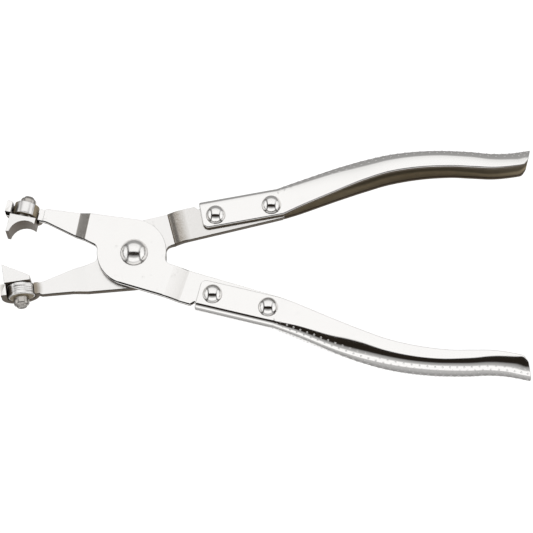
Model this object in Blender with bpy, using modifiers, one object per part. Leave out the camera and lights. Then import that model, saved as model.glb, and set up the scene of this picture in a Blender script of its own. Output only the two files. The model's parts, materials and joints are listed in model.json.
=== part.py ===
"""Hose clamp pliers with swivelling jaws.

Two stamped plate arms cross at a domed pivot rivet. Each arm ends in an eye that holds a swivel
block with a gripping jaw, and its tail is riveted into a pressed sheet handle.
Lengths in metres. +X runs to the handle ends, +Y to the upper jaw, +Z out of the front face.
"""
import math

import bmesh
import bpy
from mathutils import Vector

# Plates and sheet
plate_thickness = 0.0030
plate_edge = 0.00035
sheet_thickness = 0.0015
clearance = 0.0003
overrun = 0.004
weld_distance = 0.000003

# Hub of each arm, a disc just off the pivot axis
hub_radius = 0.0143
hub_shift = 0.0011
hub_lift = 0.0004
hub_meets_jaw = math.radians(171.0)
hub_fillet = 0.0025

# Jaw arm between the hub and the eye
neck_reach = 0.0370
neck_rise = 0.01595
neck_width = 0.0059
jaw_step_angle = math.radians(171.4)
jaw_step_start = 0.0214
jaw_step_length = 0.0043
jaw_step_bend = 0.0006

# Eye at the tip of the jaw arm
eye_reach = 0.0462
eye_rise = 0.0172
eye_tilt = math.radians(10.0)
eye_wall = 0.0024
eye_height = 0.0051
eye_leg = 0.0050
eye_stub = 0.0018
eye_edge = 0.0003

# Swivel block that turns in the eye
block_radius = 0.0052
block_height = 0.0052
block_edge = 0.0004
nose_radius = 0.00415
nose_reach = 0.0059
rib_radius = 0.0059
rib_height = 0.0012
rib_clearance = 0.00025

# Swivel pin through the block
pin_radius = 0.00325
pin_tip_rise = 0.0071
pin_dome_height = 0.0019
pin_root_depth = 0.0045
pin_chamfer = 0.0003

# Jaws under the swivel blocks
jaw_depth = 0.0098
jaw_edge = 0.00025
upper_jaw_width = 0.0110
upper_jaw_drop = 0.0109
upper_arc_radius = 0.0066
upper_arc_shift = 0.0024
upper_arc_drop = 0.0115
lower_jaw_width = 0.0107
lower_jaw_shift = 0.00055
lower_jaw_drop = 0.0112
lower_tip_flare = 0.0002
lower_heel_drop = 0.0047
lower_heel_chamfer = 0.0007
lower_groove_radius = 0.0036
lower_groove_drop = 0.0098

# Tail of each arm, seen from the first handle rivet
handle_reach = 0.0330
handle_drop = 0.0173
handle_tilt = math.radians(-12.3)
tail_step_angle = math.radians(-16.0)
tail_step_start = 0.0174
tail_step_length = 0.0062
tail_step_bend = 0.0010
tail_near_reach = 0.0052
tail_near_rise = 0.0078
tail_far_rise = 0.00595
tail_tip_reach = 0.0282
tail_tip_corner = 0.0015
tail_rivet_margin = 0.00476
tail_back_gap = 0.0008
shoulder_reach = 0.0081
shoulder_depth = 0.0059
notch_reach = 0.0067
notch_depth = 0.0044
notch_run = 0.0030

# Handle shell
shell_overhang = 0.00585
grip_lead = 0.0011
grip_length = 0.1071
shell_flange = 0.0052
shell_back = 0.0073
shell_corner = 0.0027
shell_mouth_corner = 0.0025
shell_tip_corner = 0.0022
grip_bulge = 0.0061
grip_dip = 0.0080
grip_half_width = 0.0068
grip_corner_depth = 0.0052
grip_web_flat = 0.0004

# Rivets
rivet_head_radius = 0.00405
rivet_head_height = 0.00315
rivet_head_rim = 0.0001
rivet_shank_radius = 0.0022
pivot_head_radius = 0.00575
pivot_head_height = 0.0044
pivot_head_rim = 0.0001
pivot_shank_radius = 0.0035

# Worked out from the sizes above
hub_level = (plate_thickness + clearance) / 2
eye_inner_radius = block_radius + clearance
eye_outer_radius = eye_inner_radius + eye_wall
nose_shift = nose_reach - nose_radius
bore_radius = pin_radius + clearance
jaw_seat = block_height / 2 + clearance
shell_half_width = plate_thickness / 2 + clearance + sheet_thickness
tail_back = shell_back - sheet_thickness - tail_back_gap
rivet_spacing = tail_tip_reach - tail_rivet_margin
grip_start = tail_tip_reach - grip_lead

# Sections of the grip as shares. Each row: place of the back line and of the flange edge along
# the grip, bulge of the back, dip of the flange edge, growth in width, growth in roundness
# across the back, growth in depth of the rounded part.
grip_row_shares = (
    (0.000, 0.006, 0.00, 0.00, 0.00, 0.00, 0.12),
    (0.105, 0.074, 0.28, 0.18, 0.42, 0.42, 0.78),
    (0.232, 0.196, 0.66, 0.49, 0.60, 0.70, 1.64),
    (0.300, 0.272, 0.82, 0.68, 0.77, 0.84, 2.48),
    (0.356, 0.338, 0.92, 0.83, 0.90, 0.92, 1.92),
    (0.447, 0.439, 1.00, 1.00, 1.00, 1.00, 1.48),
    (0.542, 0.559, 0.91, 0.99, 1.00, 1.00, 1.34),
    (0.649, 0.675, 0.64, 0.81, 1.00, 1.00, 1.20),
    (0.763, 0.758, 0.18, 0.55, 1.00, 1.00, 1.08),
    (0.839, 0.843, -0.21, 0.29, 1.00, 1.00, 1.44),
    (0.912, 0.939, -0.44, 0.20, 1.00, 1.00, 2.36),
    (1.000, 0.969, -0.51, 0.28, 1.00, 1.00, 2.68),
)
mouth_row_shares = (0.0, 0.04, 0.16, 0.38, 0.68, 1.0)

# Facets
round_steps = 28
corner_steps = 4
dome_steps = 4
row_steps = 2

model = bpy.data.collections.new("hose_clamp_pliers")
guides = bpy.data.collections.new("cutters")


def clear_scene():
    for item in list(bpy.data.objects):
        bpy.data.objects.remove(item, do_unlink=True)
    bpy.context.scene.collection.children.link(model)
    bpy.context.scene.collection.children.link(guides)


def plated_steel(name, colour, roughness):
    material = bpy.data.materials.new(name)
    material.use_nodes = True
    shader = material.node_tree.nodes["Principled BSDF"]
    shader.inputs["Base Color"].default_value = (*colour, 1.0)
    shader.inputs["Metallic"].default_value = 1.0
    shader.inputs["Roughness"].default_value = roughness
    return material


def frame(name, parent=None, location=(0, 0, 0), turn=0.0):
    """Empty that carries the pieces placed from it."""
    empty = bpy.data.objects.new(name, None)
    model.objects.link(empty)
    empty.parent = parent
    empty.location = location
    empty.rotation_euler = (0, 0, turn)
    return empty


def add_piece(name, mesh, parent, location=(0, 0, 0), rotation=(0, 0, 0)):
    piece = bpy.data.objects.new(name, mesh)
    model.objects.link(piece)
    piece.parent = parent
    piece.location = location
    piece.rotation_euler = rotation
    return piece


def add_guide(name, mesh, parent, location=(0, 0, 0), rotation=(0, 0, 0)):
    guide = bpy.data.objects.new(name, mesh)
    guides.objects.link(guide)
    guide.parent = parent
    guide.location = location
    guide.rotation_euler = rotation
    guide.hide_render = True
    guide.display_type = "WIRE"
    return guide


def boolean(piece, guide, operation):
    step = piece.modifiers.new(guide.name, "BOOLEAN")
    step.operation = operation
    step.solver = "EXACT"
    step.object = guide


def arc(centre, radius, start, end, steps):
    """Points along an arc, both ends included."""
    points = []
    for step in range(steps + 1):
        angle = start + (end - start) * step / steps
        points.append((centre[0] + radius * math.cos(angle), centre[1] + radius * math.sin(angle)))
    return points


def tangent_angle(centre, radius, point, side):
    """Angle on a circle where a line from a point outside touches it."""
    away = Vector((point[0] - centre[0], point[1] - centre[1]))
    return math.atan2(away.y, away.x) + side * math.acos(radius / away.length)


def flat_mesh(name, outline, thickness, edge):
    """Closed plate with softened edges, from a filled outline."""
    curve = bpy.data.curves.new(name, "CURVE")
    curve.dimensions = "2D"
    curve.fill_mode = "BOTH"
    curve.extrude = thickness / 2 - edge
    curve.bevel_depth = edge
    curve.bevel_resolution = 1
    curve.offset = -edge
    spline = curve.splines.new("POLY")
    spline.points.add(len(outline) - 1)
    for point, (x, y) in zip(spline.points, outline):
        point.co = (x, y, 0, 1)
    spline.use_cyclic_u = True
    carrier = bpy.data.objects.new(name, curve)
    model.objects.link(carrier)
    graph = bpy.context.evaluated_depsgraph_get()
    mesh = bpy.data.meshes.new_from_object(carrier.evaluated_get(graph))
    bpy.data.objects.remove(carrier, do_unlink=True)
    shape = bmesh.new()
    shape.from_mesh(mesh)
    bmesh.ops.remove_doubles(shape, verts=shape.verts, dist=weld_distance)
    bmesh.ops.recalc_face_normals(shape, faces=shape.faces)
    shape.to_mesh(mesh)
    shape.free()
    return mesh


def turned_mesh(name, profile):
    """Edge chain beside the Z axis, to be turned by a Screw modifier."""
    mesh = bpy.data.meshes.new(name)
    shape = bmesh.new()
    corners = [shape.verts.new((x, 0, z)) for x, z in profile]
    for first, second in zip(corners, corners[1:]):
        shape.edges.new((first, second))
    shape.to_mesh(mesh)
    shape.free()
    return mesh


def turn(piece):
    screw = piece.modifiers.new("turned", "SCREW")
    screw.steps = round_steps
    screw.render_steps = round_steps
    screw.use_merge_vertices = True
    screw.merge_threshold = weld_distance
    screw.use_smooth_shade = True


def cylinder_mesh(name, radius, length):
    mesh = bpy.data.meshes.new(name)
    shape = bmesh.new()
    bmesh.ops.create_cone(shape, cap_ends=True, segments=round_steps,
                          radius1=radius, radius2=radius, depth=length)
    shape.to_mesh(mesh)
    shape.free()
    return mesh


def dome_profile(radius, rim, height, seat):
    """Rounded rivet head from its top down to its seat."""
    rise = height - rim
    ball = (radius * radius + rise * rise) / (2 * rise)
    half = math.asin(min(radius / ball, 1.0))
    if rise > radius:
        half = math.pi - half
    points = []
    for step in range(dome_steps + 1):
        angle = half * step / dome_steps
        points.append((ball * math.sin(angle), seat + height - ball * (1 - math.cos(angle))))
    points[0] = (0, seat + height)
    points.append((radius, seat))
    return points


def rivet_mesh(name, head_radius, head_rim, head_height, shank_radius, seat):
    top = dome_profile(head_radius, head_rim, head_height, seat)
    top.append((shank_radius, seat))
    bottom = [(x, -z) for x, z in reversed(top)]
    return turned_mesh(name, top + bottom)


def keyhole(radius, end_radius, end_shift, start, end):
    """Circle with a rounded nose toward +X, as a path from one angle round the back to another."""
    meet_x = (radius ** 2 - end_radius ** 2 + end_shift ** 2) / (2 * end_shift)
    meet_y = math.sqrt(radius ** 2 - meet_x ** 2)
    on_circle = math.atan2(meet_y, meet_x)
    on_nose = math.atan2(meet_y, meet_x - end_shift)
    path = arc((end_shift, 0), end_radius, start, -on_nose, corner_steps)
    path += arc((0, 0), radius, -on_circle, end, round_steps // 2)[1:]
    return path, on_circle, on_nose


def smooth_rows(rows, between):
    """Rows of numbers with more rows added along a smooth curve through them."""
    result = []
    last = len(rows) - 1
    for index in range(last):
        before = rows[max(index - 1, 0)]
        start = rows[index]
        end = rows[index + 1]
        after = rows[min(index + 2, last)]
        for step in range(between):
            t = step / between
            row = []
            for a, b, c, d in zip(before, start, end, after):
                bend = (2 * b + (c - a) * t + (2 * a - 5 * b + 4 * c - d) * t ** 2
                        + (3 * b - a - 3 * c + d) * t ** 3)
                row.append(bend / 2)
            result.append(row)
    result.append(list(rows[last]))
    return result


def step_share(distance, start, length, bend):
    """0 before a step in the plate, 1 past it, with a straight ramp between two rounded bends."""
    done = min(max(distance - start, 0.0), length)
    run = length - bend
    if done < bend:
        return done * done / (2 * bend * run)
    if done > length - bend:
        return 1 - (length - done) ** 2 / (2 * bend * run)
    return (done - bend / 2) / run


def along(point, angle):
    return point[0] * math.cos(angle) + point[1] * math.sin(angle)


def in_frame(x, y, centre, angle):
    """Plan place of a point given in a turned frame."""
    return (centre[0] + x * math.cos(angle) - y * math.sin(angle),
            centre[1] + x * math.sin(angle) + y * math.cos(angle))


def rim_point(hub, angle):
    return (hub[0] + hub_radius * math.cos(angle), hub[1] + hub_radius * math.sin(angle))


def rim_fillet(hub, far, near, side):
    """Hollow corner between the hub's rim and a straight edge that comes in from a far point."""
    hub = Vector(hub)
    far = Vector(far)
    direction = (Vector(near) - far).normalized()
    normal = Vector((-direction.y, direction.x)) * side
    base = far + normal * hub_fillet - hub
    reach = base.dot(direction)
    gap = base.length_squared - (hub_radius + hub_fillet) ** 2
    centre = hub + base - direction * (reach + math.sqrt(reach * reach - gap))
    at_rim = math.atan2(hub.y - centre.y, hub.x - centre.x)
    at_edge = math.atan2(-normal.y, -normal.x)
    sweep = (at_edge - at_rim + math.pi) % math.tau - math.pi
    on_rim = math.atan2(centre.y - hub.y, centre.x - hub.x)
    return arc(centre, hub_fillet, at_rim, at_rim + sweep, corner_steps), on_rim


def arm_outline():
    """Plan outline of the front arm, clockwise from the eye."""
    hub = (-hub_shift, hub_lift)
    eye = (-eye_reach, eye_rise)
    grip = (handle_reach, -handle_drop)
    root = eye_outer_radius - eye_wall / 2
    half = eye_height / 2 - eye_edge
    neck_top = (-neck_reach, neck_rise + neck_width / 2)
    neck_bottom = (-neck_reach, neck_rise - neck_width / 2)
    shoulder = in_frame(-shoulder_reach, -shoulder_depth, grip, handle_tilt)
    top_touch = tangent_angle(hub, hub_radius, neck_top, -1)
    foot_touch = tangent_angle(hub, hub_radius, shoulder, -1)
    tail_far = in_frame(tail_tip_reach, tail_far_rise, grip, handle_tilt)
    tail_near = in_frame(-tail_near_reach, tail_near_rise, grip, handle_tilt)
    tail_corner, tail_meets = rim_fillet(hub, tail_far, tail_near, -1)
    neck_corner, neck_meets = rim_fillet(hub, neck_bottom, rim_point(hub, hub_meets_jaw), -1)
    points = [in_frame(root, half, eye, -eye_tilt), neck_top]
    points += arc(hub, hub_radius, top_touch, tail_meets, round_steps // 2)[:-1]
    points += tail_corner
    inner = tail_tip_reach - tail_tip_corner
    tail = arc((inner, tail_far_rise - tail_tip_corner), tail_tip_corner, math.pi / 2, 0, corner_steps)
    tail += arc((inner, tail_tip_corner - tail_back), tail_tip_corner, 0, -math.pi / 2, corner_steps)
    tail += [
        (-notch_run, -tail_back),
        (-notch_reach, -notch_depth),
        (-shoulder_reach, -shoulder_depth),
    ]
    points += [in_frame(u, v, grip, handle_tilt) for u, v in tail]
    points += arc(hub, hub_radius, foot_touch, neck_meets - math.tau, round_steps // 2)[:-1]
    points += neck_corner
    points += [neck_bottom, in_frame(root, -half, eye, -eye_tilt)]
    return points


def arm_mesh(name, hand):
    """Plate with a step down to the middle plane on both sides of the hub."""
    mesh = flat_mesh(name, [(x, hand * y) for x, y in arm_outline()], plate_thickness, plate_edge)
    shape = bmesh.new()
    shape.from_mesh(mesh)
    steps = ((jaw_step_angle, jaw_step_start, jaw_step_length, jaw_step_bend),
             (tail_step_angle, tail_step_start, tail_step_length, tail_step_bend))
    for angle, start, length, bend in steps:
        normal = Vector((math.cos(angle), hand * math.sin(angle), 0))
        for cut in (0, bend / 2, bend, length - bend, length - bend / 2, length):
            place = normal * (start + cut)
            geometry = shape.verts[:] + shape.edges[:] + shape.faces[:]
            bmesh.ops.bisect_plane(shape, geom=geometry, plane_co=place, plane_no=normal)
    for vert in shape.verts:
        level = hand * hub_level
        for angle, start, length, bend in steps:
            distance = along((vert.co.x, hand * vert.co.y), angle)
            level *= 1 - step_share(distance, start, length, bend)
        vert.co.z += level
    shape.to_mesh(mesh)
    shape.free()
    return mesh


def eye_outline():
    """Open ring in the pin's cross plane: X along the arm, Y to the front."""
    inner_start = math.asin(eye_stub / (nose_radius + clearance))
    inner, on_circle, on_nose = keyhole(eye_inner_radius, nose_radius + clearance, nose_shift,
                                        inner_start, -math.pi)
    outer = arc((0, 0), eye_outer_radius, -math.pi, 0, round_steps // 2)
    outer[0] = (-eye_outer_radius, 0)
    leg = [(-eye_inner_radius, eye_leg), (-eye_outer_radius, eye_leg)]
    return inner + leg + outer + [(eye_outer_radius, eye_stub)]


def shell_rows():
    """Plan places and sizes of the handle shell's sections, from mouth to tip."""
    rows = []
    for share in mouth_row_shares:
        along_mouth = share * shell_mouth_corner
        round_off = shell_mouth_corner - math.sqrt(
            max(shell_mouth_corner ** 2 - (shell_mouth_corner - along_mouth) ** 2, 0))
        place = along_mouth - shell_overhang
        rows.append(((place, -shell_back), (place, shell_flange - round_off),
                     shell_half_width, shell_corner, shell_corner))
    for row in smooth_rows(grip_row_shares, row_steps):
        back_place, flange_place, bulge, dip, width, roundness, depth_growth = row
        back = (grip_start + back_place * grip_length, -shell_back - bulge * grip_bulge)
        flange = (grip_start + flange_place * grip_length, shell_flange - dip * grip_dip)
        half_width = shell_half_width + min(width, 1.0) * (grip_half_width - shell_half_width)
        depth = shell_corner + depth_growth * (grip_corner_depth - shell_corner)
        spread = shell_corner + roundness * (half_width - grip_web_flat - shell_corner)
        rows.append((back, flange, half_width, depth, spread))
    return rows


def rounded_side(height, half_width, depth, spread):
    """Half a U section as (height, level): flange edge first, then the rounded side to the back."""
    if height > depth:
        side = [(height, half_width)]
        angles = [math.pi / 2 * step / corner_steps for step in range(corner_steps + 1)]
    else:
        start = math.asin(1 - height / depth)
        side = []
        angles = [start + (math.pi / 2 - start) * step / (corner_steps + 1)
                  for step in range(corner_steps + 2)]
    for angle in angles:
        side.append((depth - depth * math.sin(angle),
                     half_width - spread + spread * math.cos(angle)))
    return side


def shell_mesh(name, hand):
    """Outer skin of a handle: U sections lofted from the mouth to the tip."""
    rows = shell_rows()
    mesh = bpy.data.meshes.new(name)
    shape = bmesh.new()
    rings = []
    tip = Vector(rows[-1][1])
    for back, flange, half_width, depth, spread in rows:
        back = Vector(back)
        flange = Vector(flange)
        height = (flange - back).length
        direction = (flange - back) / height
        to_tip = (tip - flange).length
        if to_tip < shell_tip_corner and flange.x > 0:
            short = shell_tip_corner - to_tip
            height -= shell_tip_corner - math.sqrt(max(shell_tip_corner ** 2 - short ** 2, 0))
        section = rounded_side(height, half_width, depth, spread)
        section += [(s, -z) for s, z in reversed(section)]
        ring = []
        for s, z in section:
            place = back + direction * s
            ring.append(shape.verts.new((place.x, hand * place.y, z)))
        rings.append(ring)
    for first, second in zip(rings, rings[1:]):
        for index in range(len(first) - 1):
            shape.faces.new((first[index], first[index + 1], second[index + 1], second[index]))
    bmesh.ops.recalc_face_normals(shape, faces=shape.faces)
    middle = rings[len(rings) // 2][len(rings[0]) // 2 - 1]
    if middle.normal.y * hand > 0:
        bmesh.ops.reverse_faces(shape, faces=shape.faces)
    for face in shape.faces:
        face.smooth = True
    shape.to_mesh(mesh)
    shape.free()
    return mesh


def upper_jaw_outline():
    """Front view of the jaw with the arc, Y outward from the working gap."""
    half = upper_jaw_width / 2
    start = math.asin((upper_arc_drop - upper_jaw_drop) / upper_arc_radius)
    end = math.acos((half - upper_arc_shift) / upper_arc_radius)
    points = [(half, -jaw_seat), (-half, -jaw_seat), (-half, -upper_jaw_drop)]
    points += arc((upper_arc_shift, -upper_arc_drop), upper_arc_radius,
                  math.pi - start, end, round_steps // 3)
    return points


def lower_jaw_outline():
    """Front view of the jaw with the slanted face."""
    left = -lower_jaw_width / 2 - lower_jaw_shift
    right = lower_jaw_width / 2 - lower_jaw_shift
    return [
        (right, -jaw_seat),
        (left, -jaw_seat),
        (left - lower_tip_flare, -lower_jaw_drop),
        (right - lower_heel_chamfer, -lower_heel_drop - lower_heel_chamfer),
        (right, -lower_heel_drop),
    ]


def flip(outline, hand):
    return [(x, hand * y) for x, y in outline]


def build_arm(name, hand, base, material):
    """One arm with its eye, the holes for its rivets and the groove for the swivel rib."""
    arm = add_piece(name, arm_mesh(name, hand), base)
    arm.data.materials.append(material)
    head = frame(name + "_head", base, (-eye_reach, hand * eye_rise, 0), -hand * eye_tilt)
    grip = frame(name + "_grip", base, (handle_reach, -hand * handle_drop, 0), hand * handle_tilt)
    upright = (math.pi / 2, 0, 0)
    eye = add_guide(name + "_eye", flat_mesh(name + "_eye", eye_outline(), eye_height, eye_edge),
                    head, rotation=upright)
    boolean(arm, eye, "UNION")
    groove = cylinder_mesh(name + "_groove", rib_radius + rib_clearance,
                           rib_height + rib_clearance * 2)
    boolean(arm, add_guide(name + "_groove", groove, head, rotation=upright), "DIFFERENCE")
    through = plate_thickness * 2 + overrun
    hole = cylinder_mesh(name + "_pivot_hole", pivot_shank_radius + clearance, through)
    boolean(arm, add_guide(name + "_pivot_hole", hole, base), "DIFFERENCE")
    bore = cylinder_mesh(name + "_rivet_hole", rivet_shank_radius + clearance, through)
    for number, place in enumerate((0, rivet_spacing), start=1):
        guide = add_guide("%s_rivet_hole_%d" % (name, number), bore, grip, (place, 0, 0))
        boolean(arm, guide, "DIFFERENCE")
    return head, grip


def build_handle(place, hand, grip, shell_material, rivet_material):
    """Pressed shell over the arm's tail with its two rivets."""
    name = place + "_handle_shell"
    shell = add_piece(name, shell_mesh(name, hand), grip)
    shell.data.materials.append(shell_material)
    sheet = shell.modifiers.new("sheet", "SOLIDIFY")
    sheet.thickness = sheet_thickness
    sheet.offset = -1
    sheet.use_even_offset = True
    bore = cylinder_mesh(name + "_hole", rivet_shank_radius + clearance,
                         shell_half_width * 2 + overrun)
    rivet = rivet_mesh(place + "_handle_rivet", rivet_head_radius, rivet_head_rim,
                       rivet_head_height, rivet_shank_radius, shell_half_width + clearance)
    rivet.materials.append(rivet_material)
    for number, where in enumerate((0, rivet_spacing), start=1):
        guide = add_guide("%s_hole_%d" % (name, number), bore, grip, (where, 0, 0))
        boolean(shell, guide, "DIFFERENCE")
        turn(add_piece("%s_handle_rivet_%d" % (place, number), rivet, grip, (where, 0, 0)))


def build_swivel(place, hand, head, jaw_mesh, nose_turn, materials):
    """Swivel block, its pin and the jaw, all placed from the pin's axis in the eye."""
    jaw_material, block_material, pin_material = materials
    outward = (-hand * math.pi / 2, 0, 0)
    upright = (math.pi / 2, 0, 0)
    path, on_circle, on_nose = keyhole(block_radius, nose_radius, nose_shift, 0, -math.pi)
    outline = path + [(x, -y) for x, y in reversed(path[1:-1])]
    turned = [(x * math.cos(nose_turn) - y * math.sin(nose_turn),
               x * math.sin(nose_turn) + y * math.cos(nose_turn)) for x, y in outline]
    block_name = place + "_swivel_block"
    block_mesh = flat_mesh(block_name, turned, block_height, block_edge)
    block = add_piece(block_name, block_mesh, head, rotation=upright)
    block.data.materials.append(block_material)
    rib = cylinder_mesh(block_name + "_rib", rib_radius, rib_height)
    boolean(block, add_guide(block_name + "_rib", rib, head, rotation=upright), "UNION")
    bore = cylinder_mesh(block_name + "_bore", bore_radius, block_height + overrun)
    boolean(block, add_guide(block_name + "_bore", bore, head, rotation=upright), "DIFFERENCE")

    profile = dome_profile(pin_radius, 0, pin_dome_height, pin_tip_rise - pin_dome_height)[:-1]
    profile += [(pin_radius, pin_chamfer - pin_root_depth),
                (pin_radius - pin_chamfer, -pin_root_depth), (0, -pin_root_depth)]
    pin = add_piece(place + "_swivel_pin", turned_mesh(place + "_swivel_pin", profile), head,
                    rotation=outward)
    pin.data.materials.append(pin_material)
    turn(pin)

    jaw = add_piece(place + "_jaw", jaw_mesh, head)
    jaw.data.materials.append(jaw_material)
    socket_depth = pin_root_depth + clearance
    socket = cylinder_mesh(place + "_jaw_socket", bore_radius, socket_depth * 2)
    guide = add_guide(place + "_jaw_socket", socket, head, rotation=upright)
    boolean(jaw, guide, "DIFFERENCE")
    return jaw


def settle(root):
    """Moves the whole tool so that its outer box stands centred on the origin."""
    bpy.context.view_layer.update()
    graph = bpy.context.evaluated_depsgraph_get()
    low = Vector((math.inf,) * 3)
    high = -low
    for piece in model.objects:
        if piece.type != "MESH":
            continue
        mesh = piece.evaluated_get(graph).to_mesh()
        for vert in mesh.vertices:
            place = piece.matrix_world @ vert.co
            low = Vector(map(min, low, place))
            high = Vector(map(max, high, place))
    root.location = (-(low.x + high.x) / 2, -(low.y + high.y) / 2, -low.z)
    bpy.context.view_layer.update()


def main():
    clear_scene()
    arm_steel = plated_steel("plated_arm", (0.80, 0.79, 0.77), 0.24)
    shell_steel = plated_steel("plated_shell", (0.83, 0.82, 0.80), 0.18)
    rivet_steel = plated_steel("plated_rivet", (0.78, 0.77, 0.75), 0.20)
    jaw_steel = plated_steel("plated_jaw", (0.76, 0.75, 0.73), 0.32)
    block_steel = plated_steel("plated_block", (0.78, 0.77, 0.75), 0.26)
    pin_steel = plated_steel("plated_pin", (0.78, 0.77, 0.75), 0.20)
    swivel_steels = (jaw_steel, block_steel, pin_steel)

    root = frame("pliers_frame")
    front = frame("front_arm_pivot", root)
    rear = frame("rear_arm_base", root)

    pivot = rivet_mesh("pivot_rivet", pivot_head_radius, pivot_head_rim, pivot_head_height,
                       pivot_shank_radius, plate_thickness + clearance * 1.5)
    pivot.materials.append(rivet_steel)
    turn(add_piece("pivot_rivet", pivot, rear))

    front_head, front_grip = build_arm("front_arm", 1, front, arm_steel)
    rear_head, rear_grip = build_arm("rear_arm", -1, rear, arm_steel)
    build_handle("lower", 1, front_grip, shell_steel, rivet_steel)
    build_handle("upper", -1, rear_grip, shell_steel, rivet_steel)

    upper_jaw = flat_mesh("upper_jaw", upper_jaw_outline(), jaw_depth, jaw_edge)
    build_swivel("upper", 1, front_head, upper_jaw, math.pi / 2, swivel_steels)
    lower_jaw = flat_mesh("lower_jaw", flip(lower_jaw_outline(), -1), jaw_depth, jaw_edge)
    jaw = build_swivel("lower", -1, rear_head, lower_jaw, 0.0, swivel_steels)
    groove = cylinder_mesh("lower_jaw_groove", lower_groove_radius, lower_jaw_width + overrun)
    guide = add_guide("lower_jaw_groove", groove, rear_head, (0, lower_groove_drop, 0),
                      (0, math.pi / 2, 0))
    boolean(jaw, guide, "DIFFERENCE")
    settle(root)


main()
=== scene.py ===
"""Looks of the hose clamp pliers: plated sheet handles with pressed grip pips, satin plate arms,
domed rivets and swivelling jaws, in a soft panelled studio.

Lengths in metres. +X runs to the handle ends, +Y to the upper jaw, +Z out of the front face.
"""
import json
import math

import bmesh
import bpy
from bpy.props import FloatProperty, FloatVectorProperty, IntProperty, PointerProperty
from mathutils import Matrix, Vector


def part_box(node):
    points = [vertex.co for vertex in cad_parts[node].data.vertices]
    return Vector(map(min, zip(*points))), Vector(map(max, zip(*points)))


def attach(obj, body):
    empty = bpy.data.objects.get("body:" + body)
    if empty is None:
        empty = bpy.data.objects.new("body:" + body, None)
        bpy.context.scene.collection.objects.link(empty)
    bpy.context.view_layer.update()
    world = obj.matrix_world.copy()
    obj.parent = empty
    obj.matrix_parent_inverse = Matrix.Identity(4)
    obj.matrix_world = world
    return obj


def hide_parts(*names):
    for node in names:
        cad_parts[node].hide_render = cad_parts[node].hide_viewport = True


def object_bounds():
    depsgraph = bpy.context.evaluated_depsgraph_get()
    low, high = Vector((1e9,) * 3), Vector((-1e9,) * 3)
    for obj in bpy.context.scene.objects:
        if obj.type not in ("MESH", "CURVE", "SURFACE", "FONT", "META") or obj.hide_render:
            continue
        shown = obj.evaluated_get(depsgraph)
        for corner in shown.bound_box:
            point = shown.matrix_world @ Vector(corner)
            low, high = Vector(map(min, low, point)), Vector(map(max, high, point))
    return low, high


bl_info = {
    "name": "Hose clamp pliers",
    "version": (1, 0, 0),
    "blender": (4, 5, 0),
    "location": "3D View > Sidebar > Pliers",
    "description": "Builds the plated handles, arms, rivets and swivel jaws of a pair of pliers",
    "category": "Object",
}

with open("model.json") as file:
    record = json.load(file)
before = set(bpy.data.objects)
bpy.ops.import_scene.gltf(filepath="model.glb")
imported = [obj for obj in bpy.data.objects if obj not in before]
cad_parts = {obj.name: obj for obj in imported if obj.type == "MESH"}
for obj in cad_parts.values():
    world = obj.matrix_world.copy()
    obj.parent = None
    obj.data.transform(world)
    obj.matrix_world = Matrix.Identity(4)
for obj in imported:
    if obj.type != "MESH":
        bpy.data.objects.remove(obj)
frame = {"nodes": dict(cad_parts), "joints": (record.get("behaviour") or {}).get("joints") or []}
cad_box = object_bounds()
joint_places = {joint["name"]: Vector(joint["pos_m"]) for joint in frame["joints"]}
PIVOT = joint_places["plier_pivot"]
HEADS = {"upper": joint_places["upper_jaw_swivel"], "lower": joint_places["lower_jaw_swivel"]}

# hand is 1 for the front arm, which has the upper jaw and the lower handle, and -1 for the
# mirrored rear arm
HANDLE_HAND = {"lower": 1, "upper": -1}
HEAD_HAND = {"upper": 1, "lower": -1}
HANDLE_BODY = {"lower": "front_arm_body", "upper": "rear_arm_body"}
SWIVEL_BODY = {"upper": "upper_swivel", "lower": "lower_swivel"}
# Lean of a handle's channel from +X, and of a swivel pin from +Y
HANDLE_TILT = math.radians(-12.3)
EYE_TILT = math.radians(10.0)

# Handle shell, seen from its first rivet. A square channel starts at the mouth, an overhang
# before the rivet, and becomes the grip. Its back is the outer side and its flange edges face
# the other handle. On the grip both swing outwards, at most by its bulge and by its dip.
SHEET = 0.0015
SHELL_HALF_WIDTH = 0.0033
SHELL_OVERHANG = 0.00585
SHELL_FLANGE = 0.0052
SHELL_BACK = 0.0073
SHELL_CORNER = 0.0027
MOUTH_CORNER = 0.0025
TIP_CORNER = 0.0022
GRIP_START = 0.0271
GRIP_LENGTH = 0.1071
GRIP_BULGE = 0.00607
GRIP_DIP = 0.0080
GRIP_HALF_WIDTH = 0.0068
GRIP_CORNER_DEPTH = 0.0052
GRIP_WEB_FLAT = 0.0004

# Each row: place of the back line and of the flange edge along the grip, bulge of the back,
# dip of the flange edge, growth in width, growth in roundness across the back, growth in depth
# of the rounded part, all as shares
GRIP_ROW_SHARES = (
    (0.000, 0.006, 0.00, 0.00, 0.00, 0.00, 0.12),
    (0.105, 0.074, 0.28, 0.18, 0.42, 0.42, 1.10),
    (0.232, 0.196, 0.66, 0.49, 0.60, 0.70, 2.10),
    (0.300, 0.272, 0.82, 0.68, 0.77, 0.84, 2.75),
    (0.356, 0.338, 0.92, 0.83, 0.90, 0.92, 2.72),
    (0.447, 0.439, 1.00, 1.00, 1.00, 1.00, 1.95),
    (0.542, 0.559, 0.91, 0.99, 1.00, 1.00, 1.75),
    (0.649, 0.675, 0.64, 0.81, 1.00, 1.00, 1.85),
    (0.763, 0.758, 0.18, 0.55, 1.00, 1.00, 1.85),
    (0.839, 0.843, -0.21, 0.29, 1.00, 1.00, 2.30),
    (0.912, 0.939, -0.44, 0.20, 1.00, 1.00, 3.10),
    (1.000, 0.969, -0.51, 0.28, 1.00, 1.00, 3.30),
)

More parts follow.
